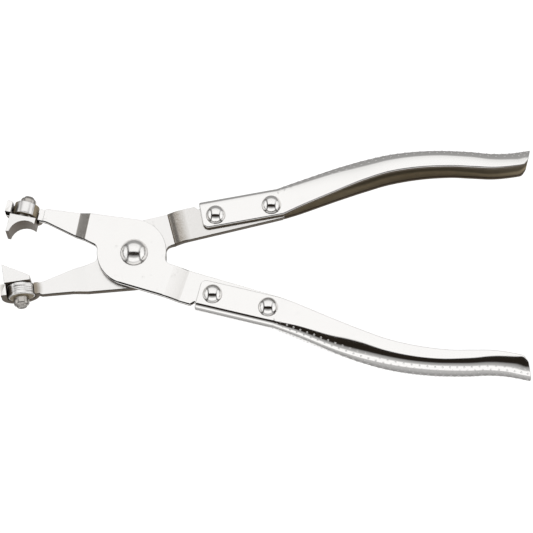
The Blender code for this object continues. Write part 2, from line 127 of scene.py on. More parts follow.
# Front flange of the upper handle, cut back: where along the grip, as shares, and how deep
FRONT_CUT_MIDDLE_SHARE = 0.36
FRONT_CUT_REACH_SHARE = 0.34
FRONT_CUT = {"upper": 0.0009, "lower": 0.0}

# Radii of the sheet's edges: outside and inside of a flange edge, and round the two ends.
# The first steps of a flange edge are still bright, and the rest takes the brown sheared finish as
# painted shade.
FLANGE_EDGE = {"upper": 0.0009, "lower": 0.0003}
INNER_EDGE = 0.0004
END_EDGE = 0.0004
BRIGHT_EDGE_STEPS = 2

# Facets of the shell: rows along it, steps round half a section, and steps of a rounded edge
MOUTH_ROWS = 12
ROWS_BETWEEN = 10
TIP_ROWS = 26
FINE_STEPS = 60
SIDE_STEPS = 30
EDGE_STEPS = 6

# Grip pips. Their rows start closer together, at a share of the row gap. The share grows up
# to 1, at a rate of 1 over the spread length.
PIP_RADIUS = 0.00042
PIP_HEIGHT = 0.00011
PIP_FACETS = 10
PIP_RINGS = 5
PIP_CLOSE_SHARE = 0.81
PIP_SPREAD_LENGTH = 0.10

# Rivets, with the seat as the level of a head's rim from the middle plane
RIVET_HEAD_RADIUS = 0.00405
RIVET_HEAD_HEIGHT = 0.00315
RIVET_SHANK_RADIUS = 0.0022
RIVET_SEAT = 0.0036
RIVET_FACETS = 64
RIVET_RINGS = 20
PIVOT_HEAD_RADIUS = 0.00575
PIVOT_HEAD_HEIGHT = 0.0044
PIVOT_SHANK_RADIUS = 0.0035
PIVOT_SEAT = 0.00345
PIVOT_FACETS = 96
PIVOT_RINGS = 28

# Swivel pin as (radius, height), from its dimpled tip to its root
PIN_PROFILE = (
    (0, 0.00690), (0.0009, 0.00692), (0.0013, 0.00705), (0.0016, 0.00708), (0.0019, 0.00698),
    (0.0021, 0.00675), (0.0022, 0.00640), (0.0024, 0.00625), (0.0027, 0.00615), (0.0030, 0.00590),
    (0.0032, 0.00555), (0.00325, 0.00520), (0.00325, -0.0042), (0.00295, -0.0045), (0, -0.0045),
)
PIN_FACETS = 64

# Folds of the arms, from the pivot: direction, then start, length and bend as packed
PLATE = 0.0030
HUB_LEVEL = 0.00165
TAIL_FOLD = (math.radians(-16.0), 0.0174, 0.0062, 0.0010)
JAW_FOLD = (math.radians(171.4), 0.0214, 0.0043, 0.0006)
# and as finished, for each hand: start, slope at the start and slope at the end
FINISHED_FOLDS = {
    1: ((TAIL_FOLD, 0.0150, 0.01, 0.37), (JAW_FOLD, 0.0212, 0.40, 0.36)),
    -1: ((TAIL_FOLD, 0.0172, 0.56, 0.02), (JAW_FOLD, 0.0205, 0.30, 0.26)),
}
FOLD_CUTS = 14

# Corners closer than this are one, and edges that turn less than this are smooth
WELD = 0.000001
SMOOTH_BELOW = math.radians(40)

# A flat piece's face takes the brown sheared finish, partly painted shade, if the upright part of
# its normal is below this
SHEARED_SLOPE = 0.90
# A turned eye reaches this far round its axis and this far towards the pivot. A face is one
# of its ends if the part of its normal along the axis is above the slope.
EYE_REACH = 0.0085
EYE_PLATE = 0.0060
EYE_END_SLOPE = 0.5

# Arms, with the head and the edge that each has
ARMS = (("front_arm", "upper", "rolled_edge"), ("rear_arm", "lower", "sheared_edge"))

# Swivel blocks: a round hub with a nose. The upper one sits nearer to its pin's domed end, and
# the lower one has grooves at these heights.
BLOCK_RADIUS = 0.0052
BLOCK_HEIGHT = 0.0052
BLOCK_EDGE = 0.0005
BLOCK_LIFT = {"upper": 0.0009, "lower": 0.0}
BLOCK_GROOVES = {"upper": (), "lower": (-0.0006, 0.0002, 0.0010)}
GROOVE_WIDTH = 0.00017
GROOVE_DEPTH = 0.00013
NOSE_RADIUS = 0.00415
NOSE_SHIFT = 0.00175
NOSE_TURN = {"upper": math.pi / 2, "lower": 0.0}
NOSE_FACETS = 40
# The hub follows the nose round the outline. Only the upper block's hub takes the dark inside
# finish, as painted shade.
SHADE_FROM = {"upper": NOSE_FACETS, "lower": 2 * NOSE_FACETS}

# Numbers of the finishes on a piece that has several. The cut and sheared ones are brown
# steel, darkened by painted shade.
OUTSIDE, INSIDE, CUT_AND_SHADE = range(3)
PLATED, SHEARED_AND_SHADE, EYE = range(3)

# Steel under the plating: its waves and how far they change the gloss, its patches and the
# dull specks where they are strong, how patchy the dark inside is, and the tint of the pins
WAVE_SCALE = 90.0
WAVE_HEIGHT = 0.000012
WAVE_DULLING = 0.5
PATCH_SCALE = 260.0
SPECK_RANGE = (0.60, 0.72)
SPECK_COVER = 0.8
SPECK_DULLING = 0.5
INSIDE_PATCHES = 0.4
PIN_TINT = (1.0, 0.965, 0.92)

# Grains in the painted fold shade, with the least cover between them and what they add
SHADE_GRAIN_SCALE = 2400.0
SHADE_GRAIN_RANGE = (0.30, 0.70)
SHADE_GRAIN_LEAST = 0.65
SHADE_GRAIN_GAIN = 0.45

# Zones of painted shade on the plating, from the pivot: direction, hand, start, end, strength
# and how far it has faded at the end. Below 0, it grows.
FRONT_ARM_ZONES = (
    (TAIL_FOLD[0], 1, 0.0175, 0.0242, 0.05, -3.0),
    (JAW_FOLD[0], 1, 0.0212, 0.0256, 0.70, 0.2),
)
REAR_ARM_ZONES = (
    (TAIL_FOLD[0], -1, 0.0173, 0.0255, 1.50, 1.0),
    (TAIL_FOLD[0], -1, 0.0205, 0.0700, 0.17, 0.0),
)
EYE_OUTWARD = math.radians(170.0)
EYE_ZONES = tuple((EYE_OUTWARD, hand, 0.0548, 0.0576, 0.05, -14.0) for hand in (1, -1))
ZONE_SOFTNESS = 0.00015
ZONE_COVER = 0.85
# Painted shade round the lower eye, fading out between these distances from its centre
LOWER_EYE_SHADE_REACHES = (0.0068, 0.0100)

# Edge of the front arm, by depth under its front face as shares of the plate: a painted dark
# line of shade, then bright steel, then brown sheared steel with painted shade. It leans out at
# first, and further at two turns.
SHADE_LINE_END_SHARES = (0.26, 0.36)
SHADE_LINE_COVER = 0.85
LINE_SHADE = 0.2
BROWN_SHARES = (0.56, 0.66)
FIRST_LEAN = 0.40
MIDDLE_TURN = 0.38
MIDDLE_TURN_SHARES = (0.32, 0.42)
LAST_TURN = 0.75
LAST_TURN_SHARES = (0.58, 0.70)

# Inside of a handle, by how far round from its flange edge as shares: the light grows, then
# is lost in the channel
INSIDE_LIGHT = 0.85
MOUTH_GAIN = 0.35
MOUTH_SHARES = (0.0, 0.06)
CHANNEL_LOSS = 0.75
CHANNEL_SHARES = (0.07, 0.16)

# Rows of panels round the tool from left to right: lean from straight up towards -Y in degrees,
# and strength
LEFT_PANEL = (
    (-180, 0.15), (-100, 0.45), (-60, 0.90), (-10, 1.10), (15, 1.05), (40, 0.95), (70, 1.05),
    (100, 0.60), (180, 0.15),
)
LEFT_GAP = (
    (-180, 0.05), (-115, 0.16), (-80, 0.20), (-52, 0.30), (-22, 0.24), (0, 0.16), (7, 0.05),
    (40, 0.02), (55, 0.12), (80, 0.24), (100, 0.14), (180, 0.05),
)
MIDDLE_PANELS = (
    (-180, 0.24), (-150, 0.27), (-115, 0.30), (-80, 0.34), (-71, 0.36), (-65, 0.82),
    (-45, 0.95), (-22, 1.01), (4, 1.03), (7, 0.01), (34, 0.01), (40, 0.30), (53, 0.48),
    (61, 1.05), (90, 1.05), (95, 0.52), (115, 0.46), (135, 0.36), (160, 0.27), (180, 0.24),
)
RIGHT_GAP = (
    (-180, 0.05), (-115, 0.22), (-80, 0.32), (-52, 0.62), (-30, 0.70), (-10, 0.40), (7, 0.08),
    (32, 0.02), (48, 0.10), (67, 0.30), (90, 0.24), (110, 0.14), (180, 0.05),
)
RIGHT_PANEL = (
    (-180, 0.15), (-100, 0.50), (-60, 0.95), (-20, 1.00), (5, 1.00), (25, 1.10), (60, 1.10),
    (95, 1.00), (115, 0.60), (180, 0.15),
)
# Each further row, with where it starts, as the sideways part of the direction, and how soft
# that edge is on each side
FURTHER_ROWS = (
    (LEFT_GAP, -0.79, 0.025), (MIDDLE_PANELS, -0.61, 0.030),
    (RIGHT_GAP, 0.63, 0.030), (RIGHT_PANEL, 0.78, 0.025),
)
# The dark between the panels is a little warm: its red and its green above its blue
DARK_RED = 0.008
DARK_GREEN = 0.004

# Floor, wide enough to fill the photograph's view
FLOOR_LOW = Vector((-0.32, -0.115))
FLOOR_HIGH = Vector((0.32, 0.29))
FLOOR_GREY = 0.50

# Camera, fitted to the photograph
VIEW_AZIMUTH = math.radians(4.5225)
VIEW_ELEVATION = math.radians(70.5305)
VIEW_ROLL = math.radians(-2.8873)
VIEW_DISTANCE = 1.01435
VIEW_LENS = 166.245
VIEW_TARGET = Vector((0.000101, -0.003715, 0.0079))


class Wire:
    """One output in a node tree. Arithmetic on it adds the maths nodes."""

    def __init__(self, board, socket):
        self.board = board
        self.socket = socket

    def __add__(self, other):
        return self.board.math("ADD", self, other)

    def __radd__(self, other):
        return self.board.math("ADD", other, self)

    def __sub__(self, other):
        return self.board.math("SUBTRACT", self, other)

    def __rsub__(self, other):
        return self.board.math("SUBTRACT", other, self)

    def __mul__(self, other):
        return self.board.math("MULTIPLY", self, other)

    def __rmul__(self, other):
        return self.board.math("MULTIPLY", other, self)

    def __truediv__(self, other):
        return self.board.math("DIVIDE", self, other)

    def __rtruediv__(self, other):
        return self.board.math("DIVIDE", other, self)


class Board:
    """A node tree that is written as expressions."""

    def __init__(self, tree):
        self.tree = tree

    def node(self, kind, settings=None, values=None, output=0):
        """Adds a node: settings first, then numbers or wires for its sockets."""
        made = self.tree.nodes.new(kind)
        for key, value in (settings or {}).items():
            if key == "stops":
                self.set_stops(made.color_ramp, value)
            else:
                setattr(made, key, value)
        for key, value in (values or {}).items():
            if isinstance(value, Wire):
                self.tree.links.new(value.socket, made.inputs[key])
            else:
                made.inputs[key].default_value = value
        return Wire(self, made.outputs[output]) if len(made.outputs) else made

    @staticmethod
    def set_stops(ramp, stops):
        """Sets a ramp's stops, as (place, grey), from the lowest place on."""
        while len(ramp.elements) < len(stops):
            ramp.elements.new(1.0)
        for element, (place, shade) in zip(ramp.elements, stops):
            element.position = place
            element.color = (shade, shade, shade, 1.0)

    def math(self, operation, *values):
        """One number from numbers or wires."""
        return self.node("ShaderNodeMath", {"operation": operation},
                         {index: value for index, value in enumerate(values)})

    def vector(self, operation, *values, output="Vector"):
        """One vector from vectors, or their distance or product from the Value output."""
        return self.node("ShaderNodeVectorMath", {"operation": operation},
                         {index: value for index, value in enumerate(values)}, output)

    def split(self, vector):
        """The three parts of a vector."""
        first = self.node("ShaderNodeSeparateXYZ", values={0: vector})
        return [Wire(self, socket) for socket in first.socket.node.outputs]

    def rise(self, value, low, high):
        """0 below low, 1 above high, with a soft slope between."""
        return self.node("ShaderNodeMapRange", {"interpolation_type": "SMOOTHSTEP"},
                         {0: value, 1: low, 2: high, 3: 0.0, 4: 1.0})

    def band(self, value, low, high, soft):
        """1 between two limits with soft edges, else 0."""
        up = self.rise(value, low - soft, low + soft)
        return up * (1 - self.rise(value, high - soft, high + soft))

    def mix_colour(self, factor, first, second):
        """Colour between two, from the first at 0 to the second at 1."""
        return self.node("ShaderNodeMix", {"data_type": "RGBA"},
                         {0: factor, 6: first, 7: second}, output=2)

    def scaled(self, vector, share):
        """A vector or colour times a number."""
        return self.node("ShaderNodeVectorMath", {"operation": "SCALE"},
                         {0: vector, "Scale": share})

    def join(self, *parts):
        """One geometry from several."""
        joined = self.node("GeometryNodeJoinGeometry")
        for part in parts:
            self.tree.links.new(part.socket, joined.socket.node.inputs[0])
        return joined

    def attribute(self, name):
        """Number that the piece carries at each corner."""
        return self.node("ShaderNodeAttribute", {"attribute_name": name}, output="Fac")


def new_material(name):
    """A material with a bare tree: its board, its shader and its object coordinates."""
    material = bpy.data.materials.new(name)
    material.use_nodes = True
    tree = material.node_tree
    tree.nodes.clear()
    board = Board(tree)
    shader = tree.nodes.new("ShaderNodeBsdfPrincipled")
    output = tree.nodes.new("ShaderNodeOutputMaterial")
    tree.links.new(shader.outputs[0], output.inputs[0])
    place = board.node("ShaderNodeTexCoord", output="Object")
    return material, board, shader, place


def feed(board, shader, name, wire):
    """Links a wire to the shader's socket of that name."""
    board.tree.links.new(wire.socket, shader.inputs[name])


def noise(board, place, scale, detail, roughness=0.5):
    """Soft noise over a piece, finer as the scale grows."""
    return board.node("ShaderNodeTexNoise", {"noise_dimensions": "3D"},
                      {"Vector": place, "Scale": scale, "Detail": detail, "Roughness": roughness})


def blend_at(board, value, place, soft, below, above):
    """One light below a place and another above it, with a soft edge between."""
    share = board.rise(value, place - soft, place + soft)
    return below + (above - below) * share


def ladder(board, lean, rungs):
    """Strength of the light along a row of panels, from (degrees of lean, strength) rungs.

    The lean is given in whole turns, with 0.5 straight up.
    """
    stops = [(degrees / 360.0 + 0.5, strength) for degrees, strength in rungs]
    return board.node("ShaderNodeValToRGB", {"stops": stops}, {0: lean})


def shaded(colour, share):
    """A colour with that share of its light."""
    return tuple(channel * share for channel in colour)


class PlatedSteel:
    """Plated steel in the making: faint waves, fine grain and scattered dull specks."""

    def __init__(self, name, colour, speckle):
        self.material, self.board, self.shader, self.place = new_material("finished_" + name)
        self.speckle = speckle
        self.waves = noise(self.board, self.place, WAVE_SCALE, detail=2.0)
        self.patches = noise(self.board, self.place, PATCH_SCALE, detail=5.0, roughness=0.65)
        self.specks = self.board.rise(self.patches, *SPECK_RANGE)
        self.colours = (*colour, 1.0)
        self.paint(self.specks * SPECK_COVER, shaded(colour, 1 - speckle))

    def paint(self, cover, colour):
        """Lays a colour over the steel where the cover is above 0."""
        self.colours = self.board.mix_colour(cover, self.colours, (*colour, 1.0))

    def finished(self, roughness, grain, grain_scale=2200.0, metallic=1.0, normal=None):
        """Gives the steel its gloss and its grain of that height and scale.

        The normal is that of the surface under the grain, where it isn't the mesh's own.
        """
        fine = noise(self.board, self.place, grain_scale, detail=4.0, roughness=0.6)
        gloss = (roughness + (self.waves - 0.5) * roughness * WAVE_DULLING
                 + self.specks * self.speckle * SPECK_DULLING)
        bump = {"Strength": 1.0, "Distance": 1.0, "Height": fine * grain + self.waves * WAVE_HEIGHT}
        if normal:
            bump["Normal"] = normal
        self.shader.inputs["Metallic"].default_value = metallic
        feed(self.board, self.shader, "Base Color", self.colours)
        feed(self.board, self.shader, "Roughness", gloss)
        feed(self.board, self.shader, "Normal",
             self.board.node("ShaderNodeBump", values=bump, output="Normal"))
        return self.material


def painted_fold_shade(steel, zones):
    """Cover of painted shade at the folds and the eye ends, broken up by fine grains."""
    board = steel.board
    away = board.vector("SUBTRACT", steel.place, tuple(PIVOT))
    grains = board.rise(noise(board, steel.place, SHADE_GRAIN_SCALE, detail=2.0, roughness=0.7),
                        *SHADE_GRAIN_RANGE)
    cover = 0.0
    for angle, hand, start, end, strength, fading in zones:
        direction = (math.cos(angle), hand * math.sin(angle), 0.0)
        along = board.vector("DOT_PRODUCT", away, direction, output="Value")
        zone = board.band(along, start, end, ZONE_SOFTNESS)
        left = board.math("MAXIMUM", 1 - (along - start) / (end - start) * fading, 0.0)
        depth = board.math("MINIMUM", left * strength, ZONE_COVER)
        cover = board.math("MAXIMUM", cover, zone * depth * (SHADE_GRAIN_LEAST + grains * SHADE_GRAIN_GAIN))
    return board.math("MINIMUM", cover, 1.0)


def rolled_normal(board, depth):
    """Normal of an edge that is rolled over under the front face and sheared below that."""
    lean = (FIRST_LEAN + MIDDLE_TURN * board.rise(depth, *MIDDLE_TURN_SHARES)
            + LAST_TURN * board.rise(depth, *LAST_TURN_SHARES))
    up = board.node("ShaderNodeCombineXYZ", values={"Z": board.math("COSINE", lean)})
    outward = board.node("ShaderNodeNewGeometry", output="Normal")
    return board.vector("ADD", up, board.scaled(outward, board.math("SINE", lean)))


def shell_steel(look):
    """Bright plating of the handles and their pips."""
    return PlatedSteel("shell_steel", look.plating, speckle=0.03).finished(
        look.shell_roughness, grain=0.0000010, grain_scale=2600.0)


def raw_inside(look):
    """Dark inner side of the handles, and the dull faces of the swivel blocks: painted shade, with
    painted light just inside the flange edges.
    """
    steel = PlatedSteel("raw_inside", look.inside, speckle=0.25)
    board = steel.board
    deep = board.attribute("deep")
    light = (INSIDE_LIGHT + board.rise(deep, *MOUTH_SHARES) * MOUTH_GAIN
             - board.rise(deep, *CHANNEL_SHARES) * CHANNEL_LOSS)
    patchy = 1 + (steel.patches - 0.5) * INSIDE_PATCHES
    steel.colours = board.scaled(steel.colours, light * patchy)
    return steel.finished(look.inside_roughness, grain=0.0000040, grain_scale=1500.0,
                          metallic=0.3)


def sheared_edge(look):
    """Brown cut edges of plate and sheet, and the sides of the jaws: dull sheared steel darkened by
    painted shade.
    """
    return PlatedSteel("sheared_edge", look.sheared_shade_colour, speckle=0.30).finished(
        look.sheared_roughness, grain=0.0000040, grain_scale=1800.0, metallic=0.5)


def rolled_edge(look):
    """Edge of the front arm: a painted dark line of shade, a bright part rolled over and a brown
    sheared part with painted shade.
    """
    steel = PlatedSteel("rolled_edge", shaded(look.plating, look.soft_shade), speckle=0.14)
    board = steel.board
    depth = board.attribute("depth")
    # Painted shade: brown sheared steel deeper down, and a dark line just under the front face
    steel.paint(board.rise(depth, *BROWN_SHARES), look.sheared_shade_colour)
    steel.paint(SHADE_LINE_COVER * (1 - board.rise(depth, *SHADE_LINE_END_SHARES)),
                shaded(look.sheared_shade_colour, LINE_SHADE))
    return steel.finished(look.arm_roughness, grain=0.0000022, normal=rolled_normal(board, depth))


def front_arm_steel(look):
    """Satin plate of the front arm, with painted shade at its folds."""
    steel = PlatedSteel("front_arm_steel", look.plating, speckle=0.10)
    steel.paint(painted_fold_shade(steel, FRONT_ARM_ZONES), look.fold_shade_colour)
    return steel.finished(look.arm_roughness, grain=0.0000022)


def rear_arm_steel(look):
    """Satin plate of the rear arm, its plating darkened as painted shade, with more painted shade at
    its tail fold and round its eye.
    """
    steel = PlatedSteel("rear_arm_steel", shaded(look.plating, look.soft_shade), speckle=0.14)
    board = steel.board
    away = board.vector("DISTANCE", steel.place, tuple(HEADS["lower"]), output="Value")
    shade_round_eye = 1 - board.rise(away, *LOWER_EYE_SHADE_REACHES)
    cover = board.math("MAXIMUM", painted_fold_shade(steel, REAR_ARM_ZONES), shade_round_eye)
    steel.paint(cover, look.fold_shade_colour)
    return steel.finished(look.arm_roughness, grain=0.0000022)


def eye_steel(look):
    """Satin outside of the turned eyes, with painted shade at their far ends."""
    steel = PlatedSteel("eye_steel", look.plating, speckle=0.10)
    steel.paint(painted_fold_shade(steel, EYE_ZONES), look.fold_shade_colour)
    return steel.finished(look.arm_roughness, grain=0.0000022)


def rivet_steel(look):
    """Bright domes of the handle rivets."""
    return PlatedSteel("rivet_steel", look.plating, speckle=0.06).finished(
        look.rivet_roughness, grain=0.0000006, grain_scale=2600.0)


def pivot_steel(look):
    """Satin dome of the pivot rivet."""
    return PlatedSteel("pivot_steel", look.plating, speckle=0.10).finished(
        look.pivot_roughness, grain=0.0000010, grain_scale=2600.0)


def pin_steel(look):
    """Dull, slightly yellow steel of the swivel pins."""
    dull = tuple(channel * tint * look.dull_shade for channel, tint in zip(look.plating, PIN_TINT))
    return PlatedSteel("pin_steel", dull, speckle=0.20).finished(
        look.pin_roughness, grain=0.0000014, grain_scale=2600.0)


def jaw_steel(look):
    """Satin front and back of the jaws."""
    return PlatedSteel("jaw_steel", shaded(look.plating, look.soft_shade), speckle=0.16).finished(
        look.arm_roughness, grain=0.0000026)


def block_steel(look):
    """Satin turned steel of the swivel blocks."""
    return PlatedSteel("block_steel", look.plating, speckle=0.12).finished(
        look.block_roughness, grain=0.0000018)


FINISHES = {make.__name__: make for make in (
    shell_steel, raw_inside, sheared_edge, rolled_edge, front_arm_steel, rear_arm_steel,
    eye_steel, rivet_steel, pivot_steel, pin_steel, jaw_steel, block_steel)}


def finish(name):
    """The finish of that name, made once."""
    found = bpy.data.materials.get("finished_" + name)
    return found or FINISHES[name](bpy.context.scene.pliers_finish)


def add_object(name, data):
    """Adds a mesh or a camera to the scene."""
    piece = bpy.data.objects.new(name, data)
    bpy.context.scene.collection.objects.link(piece)
    return piece


def plain_mesh(piece):
    """Turns a piece with modifiers into a plain mesh."""
    graph = bpy.context.evaluated_depsgraph_get()
    mesh = bpy.data.meshes.new_from_object(piece.evaluated_get(graph), depsgraph=graph)
    piece.modifiers.clear()
    piece.data = mesh
    return piece


def mesh_from(shape, name):
    """Makes a closed shape a mesh, with its faces turned outwards."""
    bmesh.ops.recalc_face_normals(shape, faces=shape.faces)
    mesh = bpy.data.meshes.new(name)
    shape.to_mesh(mesh)
    shape.free()
    return mesh


def add_bands(shape, rings, finish_of):
    """Joins rings of corners by smooth faces, with a finish for each place in the ring."""
    count = len(rings[0])
    for first, second in zip(rings, rings[1:]):
        for index in range(count):
            after = (index + 1) % count
            face = shape.faces.new((first[index], first[after], second[after], second[index]))
            face.material_index = finish_of(index)
            face.smooth = True


def close_and_face_out(mesh):
    """Closes seams and poles, and turns every face of a closed piece outwards."""
    shape = bmesh.new()
    shape.from_mesh(mesh)
    bmesh.ops.remove_doubles(shape, verts=shape.verts, dist=WELD)
    bmesh.ops.recalc_face_normals(shape, faces=shape.faces)
    shape.to_mesh(mesh)
    shape.free()


def dress(piece, slot, *finishes):
    """Gives a piece its finishes, or the finish named by the slot when none are given.

    Its faces keep the numbers of their finishes.
    """
    indices = [face.material_index for face in piece.data.polygons]
    piece.data.materials.clear()
    for name in finishes or (slot,):
        piece.data.materials.append(finish(name))
    if len(finishes) > 1:
        piece.data.polygons.foreach_set("material_index", indices)


def mark_edges(piece):
    """Gives the sheared sides of a flat piece their own finish, dark with painted shade."""
    for face in piece.data.polygons:
        face.material_index = SHEARED_AND_SHADE if abs(face.normal.z) < SHEARED_SLOPE else PLATED


def node_centre(node):
    """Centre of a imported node's box."""
    return sum(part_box(node), Vector()) / 2


# Centre of each handle's first rivet, on the middle plane
GRIP_PLACES = {place: node_centre(place + "_handle_rivet_1") for place in HANDLE_HAND}


def in_grip(place, along, inward, level):
    """World place of a point from a handle's first rivet: along, towards the other handle, up."""
    hand = HANDLE_HAND[place]
    turned = Matrix.Rotation(hand * HANDLE_TILT, 4, "Z") @ Vector((along, hand * inward, 0))
    centre = GRIP_PLACES[place]
    return Vector((centre.x + turned.x, centre.y + turned.y, centre.z + level))


def smooth_step(before, start, end, after, share):
    """Value on a smooth curve from start to end, led by the values on both sides."""
    return (2 * start + (end - before) * share
            + (2 * before - 5 * start + 4 * end - after) * share ** 2
            + (3 * start - before - 3 * end + after) * share ** 3) / 2


def running_lengths(points):
    """How far along a line of points each of them lies."""
    runs = [0.0]
    for near, far in zip(points, points[1:]):
        runs.append(runs[-1] + math.dist(near, far))
    return runs


def corner_loss(radius, run):
    """What a rounded corner takes off at a distance from the end that it rounds."""
    left = max(radius - run, 0.0)
    return radius - math.sqrt(radius ** 2 - left ** 2)


def channel_row(place, flange):
    """Section of the channel at a place along it, with its flange edge that far inwards."""
    return (Vector((place, -SHELL_BACK)), Vector((place, flange)),
            SHELL_HALF_WIDTH, SHELL_CORNER, SHELL_CORNER)


def channel_rows():
    """Sections of the square channel, from its rounded mouth to the grip."""
    rows = []
    for step in range(MOUTH_ROWS + 1):
        run = MOUTH_CORNER * (1 - math.cos(math.pi / 2 * step / MOUTH_ROWS))
        rows.append(channel_row(run - SHELL_OVERHANG,
                                SHELL_FLANGE - corner_loss(MOUTH_CORNER, run)))
    straight = GRIP_START + SHELL_OVERHANG - MOUTH_CORNER
    for step in range(1, ROWS_BETWEEN):
        place = MOUTH_CORNER - SHELL_OVERHANG + straight * step / ROWS_BETWEEN
        rows.append(channel_row(place, SHELL_FLANGE))
    return rows


def grip_rows():
    """Sections of the grip, closer together towards the tip."""
    rows = []
    last = len(GRIP_ROW_SHARES) - 1
    for index in range(last):
        near = (GRIP_ROW_SHARES[max(index - 1, 0)], GRIP_ROW_SHARES[index],
                GRIP_ROW_SHARES[index + 1], GRIP_ROW_SHARES[min(index + 2, last)])
        at_tip = index == last - 1
        steps = TIP_ROWS if at_tip else ROWS_BETWEEN
        for step in range(steps + at_tip):
            share = step / steps
            if at_tip:
                share = math.sin(math.pi / 2 * share)
            rows.append(section_sizes([smooth_step(*column, share) for column in zip(*near)]))
    return rows


def section_sizes(row):
    """Plan places and sizes of a section of the grip, from a row of shares."""
    back_place, flange_place, bulge, dip, width, roundness, depth_growth = row
    back = Vector((GRIP_START + back_place * GRIP_LENGTH, -SHELL_BACK - bulge * GRIP_BULGE))
    flange = Vector((GRIP_START + flange_place * GRIP_LENGTH, SHELL_FLANGE - dip * GRIP_DIP))
    half_width = SHELL_HALF_WIDTH + min(width, 1.0) * (GRIP_HALF_WIDTH - SHELL_HALF_WIDTH)
    depth = SHELL_CORNER + depth_growth * (GRIP_CORNER_DEPTH - SHELL_CORNER)
    spread = SHELL_CORNER + roundness * (half_width - GRIP_WEB_FLAT - SHELL_CORNER)
    return back, flange, half_width, depth, spread


def side_curve(height, half_width, depth, spread):
    """Half a U section in fine steps: (distance from the back, level, turn of the way out)."""
    start = math.asin(1 - min(height / depth, 1.0))
    curve = [(height, half_width, 0.0)] if height > depth else []
    for step in range(FINE_STEPS + 1):
        angle = start + (math.pi / 2 - start) * step / FINE_STEPS
        turned = math.atan2(math.sin(angle) / depth, math.cos(angle) / spread)
        curve.append((depth - depth * math.sin(angle),
                      half_width - spread + spread * math.cos(angle), turned))
    return curve


def rounded_side(height, half_width, depth, spread):
    """Half a U section from its flange edge to its back: (distance, level) and the way out.

    The points follow both length and turn, so that neighbouring sections stay in step.
    """
    curve = side_curve(height, half_width, depth, spread)
    runs = running_lengths([point[:2] for point in curve])
    first_turn, last_turn = curve[0][2], curve[-1][2]
    gauge = [(run / runs[-1] + (point[2] - first_turn) / (last_turn - first_turn)) / 2
             for run, point in zip(runs, curve)]
    side = []
    index = 0
    for step in range(SIDE_STEPS + 1):
        wanted = step / SIDE_STEPS
        while index < len(gauge) - 2 and gauge[index + 1] < wanted:
            index += 1
        share = min((wanted - gauge[index]) / (gauge[index + 1] - gauge[index]), 1.0)
        distance, level, turned = (near + (far - near) * share
                                   for near, far in zip(curve[index], curve[index + 1]))
        side.append((distance, level, -math.sin(turned), math.cos(turned)))
    return side


def rim_arc(edge, inset, radius):
    """Rounded sheet edge from the outer skin's end to the inner skin's."""
    distance, level, out_distance, out_level = edge
    out = Vector((out_distance, out_level))
    ahead = Vector((out_level, -out_distance))
    place = Vector((distance, level)) - (out + ahead) * inset
    thickness = SHEET - 2 * inset
    outer_radius = radius * thickness / SHEET
    inner_radius = INNER_EDGE * thickness / SHEET
    points = []
    for bend, depth, turned in ((outer_radius, outer_radius, 0),
                                (inner_radius, thickness - inner_radius, 1)):
        centre = place + ahead * (outer_radius - bend) - out * depth
        for step in range(EDGE_STEPS + 1):
            angle = math.pi / 2 * (step / EDGE_STEPS + turned)
            points.append(centre + (out * math.cos(angle) + ahead * math.sin(angle)) * bend)
    return points[1:]


def skin_points(side, depth, hand):
    """Points of half a skin at a depth under the outer face, as (distance, level)."""
    return [(distance - out_distance * depth, hand * (level - out_level * depth))
            for distance, level, out_distance, out_level in side]


def section_loop(sizes, inset, front_cut, edge):
    """Closed section of the sheet: outer skin, one rim, inner skin and the other rim.

    With it come the counts of a skin and of a rim.
    """
    height, half_width, depth, spread = sizes
    skins, unders, rims = [], [], []
    for cut, hand in ((front_cut, 1), (0.0, -1)):
        side = rounded_side(height - edge - cut, half_width, depth, spread)
        skins.append(skin_points(side, inset, hand))
        unders.append(skin_points(side, SHEET - inset, hand))
        rims.append([(point.x, hand * point.y) for point in rim_arc(side[0], inset, edge)])
    loop = (skins[0] + skins[1][::-1] + rims[1] + unders[1] + unders[0][::-1] + rims[0][::-1])
    return loop, len(skins[0]) + len(skins[1]), len(rims[1])


def front_cut_depth(place, along):
    """How far a handle's front flange is cut back at a distance along it."""
    share = (along - GRIP_START) / GRIP_LENGTH
    away = (share - FRONT_CUT_MIDDLE_SHARE) / FRONT_CUT_REACH_SHARE
    return FRONT_CUT[place] * max(0.0, 1 - away ** 2) ** 2


def shell_loops(place):
    """World points of the shell's closed sections, with the counts of a skin and of a rim."""
    rows = channel_rows() + grip_rows()
    mouth_back = rows[0][0]
    tip_back, tip_flange = rows[-1][:2]
    loops = []
    for back, flange, half_width, depth, spread in rows:
        height = (flange - back).length
        direction = (flange - back) / height
        height -= corner_loss(TIP_CORNER, (tip_flange - flange).length)
        to_end = min((back - mouth_back).length, (tip_back - back).length)
        loop, skin, rim = section_loop(
            (height, half_width, depth, spread), corner_loss(END_EDGE, to_end),
            front_cut_depth(place, back.x), FLANGE_EDGE[place])
        loops.append([in_grip(place, *(back + direction * distance), level)
                      for distance, level in loop])
    return loops, skin, rim


def close_end(shape, ring, skin, inner):
    """Closes an end of the sheet: strips between the skins, and one face for each rim."""
    for index in range(skin - 1):
        under = inner.stop - 1 - index
        face = shape.faces.new((ring[index], ring[index + 1], ring[under - 1], ring[under]))
        face.material_index = CUT_AND_SHADE
    for rim in (ring[skin - 1:inner.start + 1], ring[inner.stop - 1:] + ring[:1]):
        shape.faces.new(rim).material_index = CUT_AND_SHADE


